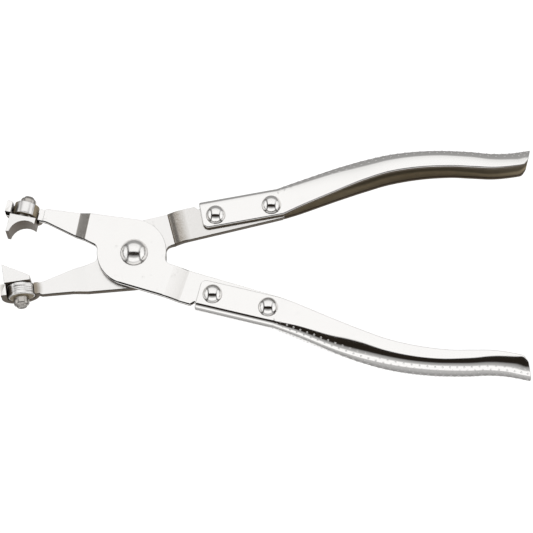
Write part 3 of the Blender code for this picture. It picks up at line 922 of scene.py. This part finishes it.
def sheet_mesh(name, place):
    """Closed pressed sheet. Each corner of its inner skin holds how far round it lies."""
    loops, skin, rim = shell_loops(place)
    inner = range(skin + rim, 2 * skin + rim)
    # Past its bright steps, a rounded flange edge takes the cut finish, as painted shade
    cut = {*range(skin + BRIGHT_EDGE_STEPS, inner.start),
           *range(inner.stop - 1, len(loops[0]) - BRIGHT_EDGE_STEPS - 1)}

    def finish_of(index):
        if index in cut:
            return CUT_AND_SHADE
        return INSIDE if index in inner else OUTSIDE

    shape = bmesh.new()
    deep = shape.verts.layers.float.new("deep")
    rings = [[shape.verts.new(point) for point in loop] for loop in loops]
    for ring in rings:
        for index, vert in enumerate(ring[inner.start:inner.stop]):
            vert[deep] = min(index, skin - 1 - index) / SIDE_STEPS
    add_bands(shape, rings, finish_of)
    for ring in (rings[0], rings[-1]):
        close_end(shape, ring, skin, inner)
    return mesh_from(shape, name)


def turned_mesh(name, profile, steps):
    """Closed round solid from a profile of (radius, height) that starts and ends on the axis."""
    shape = bmesh.new()
    rings = []
    for radius, height in profile:
        if radius == 0:
            rings.append([shape.verts.new((0, 0, height))] * steps)
        else:
            rings.append([shape.verts.new((radius * math.cos(math.tau * step / steps),
                                           radius * math.sin(math.tau * step / steps), height))
                          for step in range(steps)])
    for first, second in zip(rings, rings[1:]):
        for step in range(steps):
            after = (step + 1) % steps
            corners = dict.fromkeys((first[step], first[after], second[after], second[step]))
            shape.faces.new(tuple(corners)).smooth = True
    return mesh_from(shape, name)


def keyhole(inset):
    """Round hub with a nose towards +X, all points that distance in, the nose's corners first."""
    hub = BLOCK_RADIUS - inset
    nose = NOSE_RADIUS - inset
    meet = (hub ** 2 - nose ** 2 + NOSE_SHIFT ** 2) / (2 * NOSE_SHIFT)
    side = math.sqrt(hub ** 2 - meet ** 2)
    on_hub = math.atan2(side, meet)
    on_nose = math.atan2(side, meet - NOSE_SHIFT)
    points = []
    for step in range(NOSE_FACETS):
        angle = -on_nose + 2 * on_nose * step / NOSE_FACETS
        points.append((NOSE_SHIFT + nose * math.cos(angle), nose * math.sin(angle)))
    for step in range(NOSE_FACETS):
        angle = on_hub + (math.tau - 2 * on_hub) * step / NOSE_FACETS
        points.append((hub * math.cos(angle), hub * math.sin(angle)))
    return points


def stacked_mesh(name, layers, shade_from):
    """Closed solid through outlines at rising heights.

    Its flat ends take the second finish, and so do its sides from the given corner on; on the blocks
    that finish is painted shade.
    """
    shape = bmesh.new()
    rings = [[shape.verts.new((x, y, height)) for x, y in outline] for height, outline in layers]
    add_bands(shape, rings, lambda index: INSIDE if index >= shade_from else OUTSIDE)
    for ring in (rings[0], rings[-1]):
        shape.faces.new(ring).material_index = INSIDE
    return mesh_from(shape, name)


def new_tree(name, inputs):
    """Board of a geometry node tree, and the wires of its inputs by name."""
    tree = bpy.data.node_groups.new(name, "GeometryNodeTree")
    tree.interface.new_socket(name="Geometry", in_out="INPUT", socket_type="NodeSocketGeometry")
    for label, kind, default in inputs:
        socket = tree.interface.new_socket(name=label, in_out="INPUT", socket_type=kind)
        if default is not None:
            socket.default_value = default
    tree.interface.new_socket(name="Geometry", in_out="OUTPUT", socket_type="NodeSocketGeometry")
    board = Board(tree)
    entry = tree.nodes.new("NodeGroupInput")
    wires = {socket.name: Wire(board, socket) for socket in entry.outputs if socket.name}
    return board, wires


def grow(piece, tree, values):
    """Runs a geometry node tree on a piece and leaves its plain mesh."""
    growth = piece.modifiers.new(tree.name, "NODES")
    growth.node_group = tree
    identifiers = {item.name: item.identifier for item in tree.interface.items_tree
                   if item.in_out == "INPUT"}
    for label, value in values.items():
        growth[identifiers[label]] = value
    bpy.context.view_layer.update()
    plain_mesh(piece)


def close_tree(board, geometry, material):
    """The ending that every tree has: smooth faces, real geometry and the finish."""
    smooth = board.node("GeometryNodeSetShadeSmooth", values={"Geometry": geometry})
    real = board.node("GeometryNodeRealizeInstances", values={"Geometry": smooth})
    done = board.node("GeometryNodeSetMaterial", values={"Geometry": real, "Material": material})
    board.node("NodeGroupOutput", values={0: done})


def domed_head(board, wires):
    """Head of a rivet: a cap of a ball, closed by a flat base at the seat."""
    radius = wires["Head Radius"]
    height = wires["Head Height"]
    seat = wires["Seat"]
    ball = (radius * radius + height * height) / (height * 2)
    reach = board.math("ARCSINE", radius / ball)
    sheet = board.node("GeometryNodeMeshGrid", values={
        "Size X": 1.0, "Size Y": 1.0,
        "Vertices X": wires["Facets"] + 1, "Vertices Y": wires["Rings"] + 1})
    x, y, _ = board.split(board.node("GeometryNodeInputPosition"))
    round_angle = (x + 0.5) * math.tau
    fall = (y + 0.5) * reach
    spread = ball * board.math("SINE", fall)
    place = board.node("ShaderNodeCombineXYZ", values={
        "X": spread * board.math("COSINE", round_angle),
        "Y": spread * board.math("SINE", round_angle),
        "Z": seat + height - ball * (1 - board.math("COSINE", fall))})
    dome = board.node("GeometryNodeSetPosition", values={"Geometry": sheet, "Position": place})
    rim = board.node("GeometryNodeMeshCircle", {"fill_type": "NGON"},
                     {"Vertices": wires["Facets"], "Radius": radius})
    lift = board.node("ShaderNodeCombineXYZ", values={"Z": seat})
    base = board.node("GeometryNodeTransform", values={"Geometry": rim, "Translation": lift})
    return board.node("GeometryNodeMergeByDistance", values={
        "Geometry": board.join(dome, base), "Distance": WELD})


def rivet_tree():
    """Rivets with a domed head on both faces, one on each point of the piece."""
    board, wires = new_tree("domed_rivets", (
        ("Head Radius", "NodeSocketFloat", RIVET_HEAD_RADIUS),
        ("Head Height", "NodeSocketFloat", RIVET_HEAD_HEIGHT),
        ("Seat", "NodeSocketFloat", RIVET_SEAT),
        ("Shank Radius", "NodeSocketFloat", RIVET_SHANK_RADIUS),
        ("Facets", "NodeSocketInt", RIVET_FACETS),
        ("Rings", "NodeSocketInt", RIVET_RINGS),
        ("Steel", "NodeSocketMaterial", None),
    ))
    front = domed_head(board, wires)
    rear = board.node("GeometryNodeTransform", values={
        "Geometry": front, "Rotation": (math.pi, 0, 0)})
    shank = board.node("GeometryNodeMeshCylinder", values={
        "Vertices": wires["Facets"], "Radius": wires["Shank Radius"], "Depth": wires["Seat"] * 2})
    placed = board.node("GeometryNodeInstanceOnPoints", values={
        "Points": wires["Geometry"], "Instance": board.join(front, rear, shank)})
    close_tree(board, placed, wires["Steel"])
    return board.tree


def pip_tree():
    """Low round pips on the points of the piece, each standing along its outward direction."""
    board, wires = new_tree("grip_pips", (
        ("Pip Radius", "NodeSocketFloat", PIP_RADIUS),
        ("Pip Height", "NodeSocketFloat", PIP_HEIGHT),
        ("Facets", "NodeSocketInt", PIP_FACETS),
        ("Rings", "NodeSocketInt", PIP_RINGS),
        ("Steel", "NodeSocketMaterial", None),
    ))
    ball = board.node("GeometryNodeMeshUVSphere", values={
        "Segments": wires["Facets"], "Rings": wires["Rings"], "Radius": wires["Pip Radius"]})
    flat = board.node("ShaderNodeCombineXYZ", values={
        "X": 1.0, "Y": 1.0, "Z": wires["Pip Height"] / wires["Pip Radius"]})
    pip = board.node("GeometryNodeTransform", values={"Geometry": ball, "Scale": flat})
    outward = board.node("GeometryNodeInputNamedAttribute", {"data_type": "FLOAT_VECTOR"},
                         {"Name": "outward"})
    upright = board.node("FunctionNodeAlignRotationToVector", {"axis": "Z"},
                         {"Vector": outward})
    placed = board.node("GeometryNodeInstanceOnPoints", values={
        "Points": wires["Geometry"], "Instance": pip, "Rotation": upright})
    close_tree(board, placed, wires["Steel"])
    return board.tree


def pip_places(place):
    """Places and outward directions of the staggered pips on a handle's back."""
    sizes = bpy.context.scene.pliers_sizes
    loops, skin, _ = shell_loops(place)
    rings = [loop[:skin] for loop in loops]
    origin = GRIP_PLACES[place]
    axis = in_grip(place, 1.0, 0.0, 0.0) - origin
    low, high = (corner.y for corner in cad_box)
    middles = [back_middle(ring) for ring in rings]
    runs = running_lengths(middles)
    start = next(run for run, middle in zip(runs, middles)
                 if (middle - origin).dot(axis) > sizes.pip_start)
    places = []
    for row in range(sizes.pip_rows):
        wide = (row + 0.5 - sizes.pip_rows / 2) * sizes.pip_row_gap
        run = start + (row % 2) * sizes.pip_pitch / 2
        while run < runs[-1] - sizes.pip_end_margin:
            index = next(number for number, length in enumerate(runs) if length > run)
            share = (run - runs[index - 1]) / (runs[index] - runs[index - 1])
            offset = wide * min(PIP_CLOSE_SHARE + (run - start) / PIP_SPREAD_LENGTH, 1.0)
            point, outward = walk(rings[index - 1], rings[index], share, offset)
            point.y = min(max(point.y, low + sizes.pip_height), high - sizes.pip_height)
            places.append((point, outward))
            run += sizes.pip_pitch
    return places


def back_middle(ring):
    """Middle of the back on a section of the outer skin."""
    half = len(ring) // 2
    return (ring[half - 1] + ring[half]) / 2


def walk(first, second, share, offset):
    """Point and outward direction on the skin, at a distance round from the back's middle."""
    ring = [start.lerp(end, share) for start, end in zip(first, second)]
    half = len(ring) // 2
    chain = [back_middle(ring)] + (ring[half:] if offset > 0 else ring[:half][::-1])
    left = abs(offset)
    for near, far in zip(chain, chain[1:]):
        length = (far - near).length
        if left <= length:
            break
        left -= length
    point = near.lerp(far, left / length)
    across = (far - near) * (1 if offset > 0 else -1)
    ahead = sum((end - start for start, end in zip(first, second)), Vector())
    outward = across.cross(ahead).normalized()
    centre = sum(ring, Vector()) / len(ring)
    if outward.dot(point - centre) < 0:
        outward.negate()
    return point, outward


def packed_share(distance, start, length, bend):
    """How far a packed fold has come: a straight ramp between two rounded bends."""
    done = min(max(distance - start, 0.0), length)
    run = length - bend
    if done < bend:
        return done * done / (2 * bend * run)
    if done > run:
        return 1 - (length - done) ** 2 / (2 * bend * run)
    return (done - bend / 2) / run


def fold_length(first_slope, last_slope):
    """Length over which a finished fold leads from the hub's level to the middle plane."""
    return 2 * HUB_LEVEL / (first_slope + last_slope)


def finished_share(distance, start, first_slope, last_slope):
    """How far a finished fold has come: its slope changes evenly along it."""
    length = fold_length(first_slope, last_slope)
    done = min(max(distance - start, 0.0), length)
    rise = first_slope * done + (last_slope - first_slope) * done ** 2 / (2 * length)
    return rise / HUB_LEVEL


def refold(shape, hand):
    """Gives the arm its finished folds, and each point its depth under the front face."""
    depth = shape.verts.layers.float.new("depth")
    folds = FINISHED_FOLDS[hand]
    for (angle, *_), start, first_slope, last_slope in folds:
        normal = Vector((math.cos(angle), hand * math.sin(angle), 0))
        length = fold_length(first_slope, last_slope)
        for cut in range(FOLD_CUTS + 1):
            place = PIVOT + normal * (start + length * cut / FOLD_CUTS)
            geometry = shape.verts[:] + shape.edges[:] + shape.faces[:]
            bmesh.ops.bisect_plane(shape, geom=geometry, plane_co=place, plane_no=normal)
    for vert in shape.verts:
        reach = vert.co - PIVOT
        packed = finished = hand * HUB_LEVEL
        for (angle, *packed_sizes), start, first_slope, last_slope in folds:
            distance = reach.x * math.cos(angle) + hand * reach.y * math.sin(angle)
            packed *= 1 - packed_share(distance, *packed_sizes)
            finished *= 1 - finished_share(distance, start, first_slope, last_slope)
        vert[depth] = 0.5 - (reach.z - packed) / PLATE
        vert.co.z += finished - packed


def finished_copy(node, name, hand=None):
    """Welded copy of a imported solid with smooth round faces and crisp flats.

    With a hand it is an arm, which also gets its finished folds.
    """
    mesh = frame["nodes"][node].data.copy()
    mesh.name = name
    shape = bmesh.new()
    shape.from_mesh(mesh)
    bmesh.ops.remove_doubles(shape, verts=shape.verts, dist=WELD)
    bmesh.ops.dissolve_degenerate(shape, dist=WELD, edges=shape.edges)
    if hand:
        refold(shape, hand)
    for face in shape.faces:
        face.smooth = True
    for edge in shape.edges:
        edge.smooth = len(edge.link_faces) == 2 and edge.calc_face_angle(0.0) < SMOOTH_BELOW
    shape.to_mesh(mesh)
    shape.free()
    piece = add_object(name, mesh)
    normals = piece.modifiers.new("crisp_flats", "WEIGHTED_NORMAL")
    normals.keep_sharp = True
    normals.mode = "FACE_AREA"
    return plain_mesh(piece)


def head_frame(place):
    """Frame of a swivel head, with its Y along the pin."""
    turn = Matrix.Rotation(-HEAD_HAND[place] * EYE_TILT, 4, "Z")
    return Matrix.Translation(HEADS[place]) @ turn


def settle(piece, place, part):
    """Puts a finished piece of a swivel head in the place of its node."""
    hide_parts(place + part)
    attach(piece, SWIVEL_BODY[place])


class PliersSizes(bpy.types.PropertyGroup):
    """Sizes of the grip pips."""
    pip_radius: FloatProperty(name="Pip radius", description="Radius of a grip pip",
                              default=PIP_RADIUS, unit="LENGTH")
    pip_height: FloatProperty(name="Pip height", description="How far a pip stands proud",
                              default=PIP_HEIGHT, unit="LENGTH")
    pip_pitch: FloatProperty(name="Pip pitch", description="Spacing of the pips along the grip",
                             default=0.0031, unit="LENGTH")
    pip_rows: IntProperty(name="Pip rows", description="Rows of pips round the grip", default=8)
    pip_row_gap: FloatProperty(name="Row gap", description="Spacing of the rows round the grip",
                               default=0.00165, unit="LENGTH")
    pip_start: FloatProperty(name="Pip start", description="First pips, from the first rivet",
                             default=0.025, unit="LENGTH")
    pip_end_margin: FloatProperty(name="Pip end margin", description="Plain end of the grip",
                                  default=0.0010, unit="LENGTH")


class PliersFinish(bpy.types.PropertyGroup):
    """Colour and gloss of the plating."""
    plating: FloatVectorProperty(name="Plating", description="Colour of the bright plating",
                                 subtype="COLOR", default=(0.83, 0.818, 0.803), min=0, max=1)
    # Painted shade: a darker copy of the plating on the rear arm and the front arm's edge; it also
    # darkens the jaws
    soft_shade: FloatProperty(name="Soft shade", description="Shade of the rear arm and jaws",
                              default=0.95, subtype="FACTOR", min=0, max=1)
    dull_shade: FloatProperty(name="Dull shade", description="Shade of the swivel pins",
                              default=0.58, subtype="FACTOR", min=0, max=1)
    # Brown of the cut edges, darkened as painted shade
    sheared_shade_colour: FloatVectorProperty(name="Sheared edges", description="Colour of the cut edges",
                                 subtype="COLOR", default=(0.15, 0.118, 0.085), min=0, max=1)
    # Colour of the painted shade at the folds and the eye ends
    fold_shade_colour: FloatVectorProperty(name="Worked", description="Colour of the plating at the folds",
                                subtype="COLOR", default=(0.27, 0.235, 0.19), min=0, max=1)
    # Colour of the painted shade inside the handles and on the dull faces of the blocks
    inside: FloatVectorProperty(name="Inside", description="Colour of the dull inner side",
                                subtype="COLOR", default=(0.43, 0.355, 0.24), min=0, max=1)
    shell_roughness: FloatProperty(name="Shell roughness", description="Roughness of the shells",
                                   default=0.09, subtype="FACTOR", min=0, max=1)
    rivet_roughness: FloatProperty(name="Rivet roughness", description="Roughness of the rivets",
                                   default=0.10, subtype="FACTOR", min=0, max=1)
    pivot_roughness: FloatProperty(name="Pivot roughness", description="Roughness of the pivot",
                                   default=0.17, subtype="FACTOR", min=0, max=1)
    pin_roughness: FloatProperty(name="Pin roughness", description="Roughness of the pins",
                                 default=0.24, subtype="FACTOR", min=0, max=1)
    block_roughness: FloatProperty(name="Block roughness", description="Roughness of the blocks",
                                   default=0.33, subtype="FACTOR", min=0, max=1)
    arm_roughness: FloatProperty(name="Arm roughness", description="Roughness of the plates",
                                 default=0.20, subtype="FACTOR", min=0, max=1)
    sheared_roughness: FloatProperty(name="Edge roughness", description="Roughness of the edges",
                                     default=0.45, subtype="FACTOR", min=0, max=1)
    inside_roughness: FloatProperty(name="Inside roughness", description="Roughness inside",
                                    default=0.45, subtype="FACTOR", min=0, max=1)


class PliersStudio(bpy.types.PropertyGroup):
    """Floor and light."""
    floor_drop: FloatProperty(name="Floor drop", description="Height of the tool over the floor",
                              default=0.30, unit="LENGTH")
    floor_glow: FloatProperty(name="Floor glow", description="Own light of the pale floor",
                              default=0.72, subtype="FACTOR", min=0, max=1)
    panel_strength: FloatProperty(name="Panel strength", description="Strength of all the panels",
                                  default=1.13, min=0, max=2)


class PLIERS_OT_handle_shells(bpy.types.Operator):
    """Pressed sheet handles with rounded edges"""
    bl_idname = "pliers.handle_shells"
    bl_label = "Handle shells"

    def execute(self, context):
        for place in HANDLE_HAND:
            name = place + "_handle_sheet"
            piece = add_object(name, sheet_mesh(name, place))
            dress(piece, "shell_steel", "shell_steel", "raw_inside", "sheared_edge")
            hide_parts(place + "_handle_shell")
            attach(piece, HANDLE_BODY[place])
        return {"FINISHED"}


class PLIERS_OT_grip_pips(bpy.types.Operator):
    """Staggered rows of small pips pressed up in the grips"""
    bl_idname = "pliers.grip_pips"
    bl_label = "Grip pips"

    def execute(self, context):
        sizes = context.scene.pliers_sizes
        tree = pip_tree()
        for place in HANDLE_HAND:
            name = place + "_grip_pips"
            points, directions = zip(*pip_places(place))
            mesh = bpy.data.meshes.new(name)
            mesh.from_pydata(points, [], [])
            outward = mesh.attributes.new("outward", "FLOAT_VECTOR", "POINT")
            outward.data.foreach_set("vector", [part for way in directions for part in way])
            piece = add_object(name, mesh)
            grow(piece, tree, {"Pip Radius": sizes.pip_radius, "Pip Height": sizes.pip_height,
                               "Steel": finish("shell_steel")})
            dress(piece, "shell_steel")
            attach(piece, HANDLE_BODY[place])
        return {"FINISHED"}


class PLIERS_OT_rivets(bpy.types.Operator):
    """Domed handle rivets and the big rivet at the pivot"""
    bl_idname = "pliers.rivets"
    bl_label = "Rivets"

    def execute(self, context):
        tree = rivet_tree()
        for place in HANDLE_HAND:
            nodes = [f"{place}_handle_rivet_{number}" for number in (1, 2)]
            centres = [node_centre(node) for node in nodes]
            self.make(tree, place + "_handle_rivets", centres, HANDLE_BODY[place], nodes, {})
        sizes = {"Head Radius": PIVOT_HEAD_RADIUS, "Head Height": PIVOT_HEAD_HEIGHT,
                 "Seat": PIVOT_SEAT, "Shank Radius": PIVOT_SHANK_RADIUS,
                 "Facets": PIVOT_FACETS, "Rings": PIVOT_RINGS}
        centre = node_centre("pivot_rivet")
        self.make(tree, "pivot_rivet_domed", [centre], "rear_arm_body", ["pivot_rivet"], sizes,
                  "pivot_steel")
        return {"FINISHED"}

    @staticmethod
    def make(tree, name, centres, body, nodes, sizes, plating="rivet_steel"):
        """Makes the rivets of one piece, on their centres."""
        mesh = bpy.data.meshes.new(name)
        mesh.from_pydata(centres, [], [])
        piece = add_object(name, mesh)
        grow(piece, tree, {"Steel": finish(plating), **sizes})
        close_and_face_out(piece.data)
        dress(piece, "rivet_steel", plating)
        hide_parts(*nodes)
        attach(piece, body)


class PLIERS_OT_arms(bpy.types.Operator):
    """Stamped plate arms with their folds and turned eyes"""
    bl_idname = "pliers.arms"
    bl_label = "Arms"

    def execute(self, context):
        for node, place, edge in ARMS:
            hand = HEAD_HAND[place]
            piece = finished_copy(node, node + "_plate", hand)
            dress(piece, "arm_steel", node + "_steel", edge, "eye_steel")
            mark_edges(piece)
            self.mark_eye(piece, HEADS[place], hand)
            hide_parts(node)
            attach(piece, node + "_body")
        return {"FINISHED"}

    @staticmethod
    def mark_eye(piece, eye, hand):
        """The turned eye is bright round its outside, and takes the sheared finish with painted
        shade inside and at its sheared ends.
        """
        axis = Vector((math.sin(EYE_TILT), hand * math.cos(EYE_TILT), 0))
        for face in piece.data.polygons:
            away = face.center - eye
            across = away - axis * away.dot(axis)
            if across.length > EYE_REACH or away.x > EYE_PLATE:
                continue
            # Faces inside the eye and at its ends get the dark sheared finish, as painted shade
            dull = abs(face.normal.dot(axis)) > EYE_END_SLOPE or face.normal.dot(across) < 0
            face.material_index = SHEARED_AND_SHADE if dull else EYE


class PLIERS_OT_jaws(bpy.types.Operator):
    """Jaws that grip the ears of a hose clamp"""
    bl_idname = "pliers.jaws"
    bl_label = "Jaws"

    def execute(self, context):
        for place in HEAD_HAND:
            jaw = finished_copy(place + "_jaw", place + "_jaw_finished")
            dress(jaw, "jaw_steel", "jaw_steel", "sheared_edge")
            mark_edges(jaw)
            settle(jaw, place, "_jaw")
        return {"FINISHED"}


class PLIERS_OT_swivel_blocks(bpy.types.Operator):
    """Round blocks with a nose that turn in the eyes"""
    bl_idname = "pliers.swivel_blocks"
    bl_label = "Swivel blocks"

    def execute(self, context):
        for place, hand in HEAD_HAND.items():
            name = place + "_swivel_block_turned"
            mesh = stacked_mesh(name, self.layers(place), SHADE_FROM[place])
            lift = Matrix.Translation((0, hand * BLOCK_LIFT[place], 0))
            upright = Matrix.Rotation(math.pi / 2, 4, "X")
            nose = Matrix.Rotation(NOSE_TURN[place], 4, "Z")
            mesh.transform(head_frame(place) @ lift @ upright @ nose)
            block = add_object(name, mesh)
            # The block's ends, and the upper block's hub, take the dark inside finish as painted
            # shade
            dress(block, "block_steel", "block_steel", "raw_inside")
            settle(block, place, "_swivel_block")
        return {"FINISHED"}

    @staticmethod
    def layers(place):
        """Outlines of the block from one end to the other, each with its height."""
        half = BLOCK_HEIGHT / 2
        bottom = []
        for step in range(EDGE_STEPS + 1):
            angle = math.pi / 2 * step / EDGE_STEPS
            bottom.append((-half + BLOCK_EDGE * (1 - math.cos(angle)),
                           BLOCK_EDGE * (1 - math.sin(angle))))
        middle = []
        for groove in BLOCK_GROOVES[place]:
            middle += [(groove - GROOVE_WIDTH, 0.0), (groove, GROOVE_DEPTH),
                       (groove + GROOVE_WIDTH, 0.0)]
        top = [(-height, inset) for height, inset in reversed(bottom)]
        return [(height, keyhole(inset)) for height, inset in bottom + middle + top]


class PLIERS_OT_swivel_pins(bpy.types.Operator):
    """Pins with domed ends, which hold the jaws in the blocks"""
    bl_idname = "pliers.swivel_pins"
    bl_label = "Swivel pins"

    def execute(self, context):
        for place, hand in HEAD_HAND.items():
            name = place + "_pin_turned"
            pin = add_object(name, turned_mesh(name, PIN_PROFILE, PIN_FACETS))
            pin.data.transform(head_frame(place) @ Matrix.Rotation(-hand * math.pi / 2, 4, "X"))
            dress(pin, "pin_steel")
            settle(pin, place, "_swivel_pin")
        return {"FINISHED"}


class PLIERS_OT_studio(bpy.types.Operator):
    """Pale floor, soft panels of light and the camera"""
    bl_idname = "pliers.studio"
    bl_label = "Studio"

    def execute(self, context):
        self.world(context)
        self.floor(context)
        self.camera(context)
        context.scene.view_settings.view_transform = "Standard"
        return {"FINISHED"}

    @staticmethod
    def world(context):
        """Soft panels of light all round, a little warmer where they are dark."""
        studio = context.scene.pliers_studio
        world = bpy.data.worlds.new("soft_panels")
        context.scene.world = world
        world.use_nodes = True
        tree = world.node_tree
        tree.nodes.clear()
        board = Board(tree)
        ray = board.node("ShaderNodeTexCoord", output="Generated")
        x, y, z = board.split(board.vector("NORMALIZE", ray))
        lean = board.math("ARCTAN2", 0 - y, z) / math.tau + 0.5
        light = ladder(board, lean, LEFT_PANEL)
        for rungs, place, soft in FURTHER_ROWS:
            light = blend_at(board, x, place, soft, light, ladder(board, lean, rungs))
        light = light * studio.panel_strength
        dark = 1 - light
        warm = board.node("ShaderNodeCombineXYZ", values={
            "X": light + dark * DARK_RED, "Y": light + dark * DARK_GREEN, "Z": light})
        glow = board.node("ShaderNodeBackground", values={"Color": warm, "Strength": 1.0})
        board.node("ShaderNodeOutputWorld", values={0: glow})

    @staticmethod
    def floor(context):
        """Pale sheet far under the tool, with a light of its own where a camera or steel sees it."""
        studio = context.scene.pliers_studio
        level = -studio.floor_drop
        corners = [(FLOOR_LOW.x, FLOOR_LOW.y, level), (FLOOR_HIGH.x, FLOOR_LOW.y, level),
                   (FLOOR_HIGH.x, FLOOR_HIGH.y, level), (FLOOR_LOW.x, FLOOR_HIGH.y, level)]
        mesh = bpy.data.meshes.new("floor")
        mesh.from_pydata(corners, [], [(0, 1, 2, 3)])
        floor = add_object("floor", mesh)
        material, board, shader, _ = new_material("pale_floor")
        shader.inputs["Roughness"].default_value = 1.0
        shader.inputs["Specular IOR Level"].default_value = 0.0
        shader.inputs["Base Color"].default_value = (FLOOR_GREY, FLOOR_GREY, FLOOR_GREY, 1.0)
        path = board.node("ShaderNodeLightPath")
        sockets = path.socket.node.outputs
        seen = Wire(board, sockets["Is Camera Ray"]) + Wire(board, sockets["Is Glossy Ray"])
        seen = board.math("MINIMUM", seen + Wire(board, sockets["Is Transmission Ray"]), 1.0)
        pale = (*[studio.floor_glow] * 3, 1.0)
        feed(board, shader, "Emission Color", board.mix_colour(seen, (0.0, 0.0, 0.0, 1.0), pale))
        shader.inputs["Emission Strength"].default_value = 1.0
        mesh.materials.append(material)

    @staticmethod
    def camera(context):
        """Camera where the photographer's stood, rolled a little."""
        back = Vector((math.sin(VIEW_AZIMUTH) * math.cos(VIEW_ELEVATION),
                       -math.cos(VIEW_AZIMUTH) * math.cos(VIEW_ELEVATION),
                       math.sin(VIEW_ELEVATION)))
        level = Vector((math.cos(VIEW_AZIMUTH), math.sin(VIEW_AZIMUTH), 0))
        up = back.cross(level)
        right = level * math.cos(VIEW_ROLL) + up * math.sin(VIEW_ROLL)
        up = up * math.cos(VIEW_ROLL) - level * math.sin(VIEW_ROLL)
        lens = bpy.data.cameras.new("camera")
        lens.lens = VIEW_LENS
        camera = add_object("camera", lens)
        turn = Matrix((right, up, back)).transposed().to_4x4()
        camera.matrix_world = Matrix.Translation(VIEW_TARGET + back * VIEW_DISTANCE) @ turn
        context.scene.camera = camera


class PLIERS_PT_panel(bpy.types.Panel):
    """Lists the pieces in the sidebar"""
    bl_idname = "PLIERS_PT_panel"
    bl_label = "Hose clamp pliers"
    bl_space_type = "VIEW_3D"
    bl_region_type = "UI"
    bl_category = "Pliers"

    def draw(self, context):
        for operator in OPERATORS:
            self.layout.operator(operator.bl_idname)


OPERATORS = (
    PLIERS_OT_studio,
    PLIERS_OT_handle_shells,
    PLIERS_OT_grip_pips,
    PLIERS_OT_rivets,
    PLIERS_OT_arms,
    PLIERS_OT_jaws,
    PLIERS_OT_swivel_blocks,
    PLIERS_OT_swivel_pins,
)
GROUPS = {
    "pliers_sizes": PliersSizes,
    "pliers_finish": PliersFinish,
    "pliers_studio": PliersStudio,
}


def register():
    """Adds the classes and the scene's settings."""
    for item in (*GROUPS.values(), *OPERATORS, PLIERS_PT_panel):
        bpy.utils.register_class(item)
    for name, group in GROUPS.items():
        setattr(bpy.types.Scene, name, PointerProperty(type=group))


def unregister():
    """Takes them away again."""
    for name in GROUPS:
        delattr(bpy.types.Scene, name)
    for item in (PLIERS_PT_panel, *reversed(OPERATORS), *GROUPS.values()):
        bpy.utils.unregister_class(item)


def main():
    """Builds everything."""
    register()
    bpy.ops.pliers.studio()
    bpy.ops.pliers.handle_shells()
    bpy.ops.pliers.grip_pips()
    bpy.ops.pliers.rivets()
    bpy.ops.pliers.arms()
    bpy.ops.pliers.jaws()
    bpy.ops.pliers.swivel_blocks()
    bpy.ops.pliers.swivel_pins()


if __name__ == "__main__":
    main()
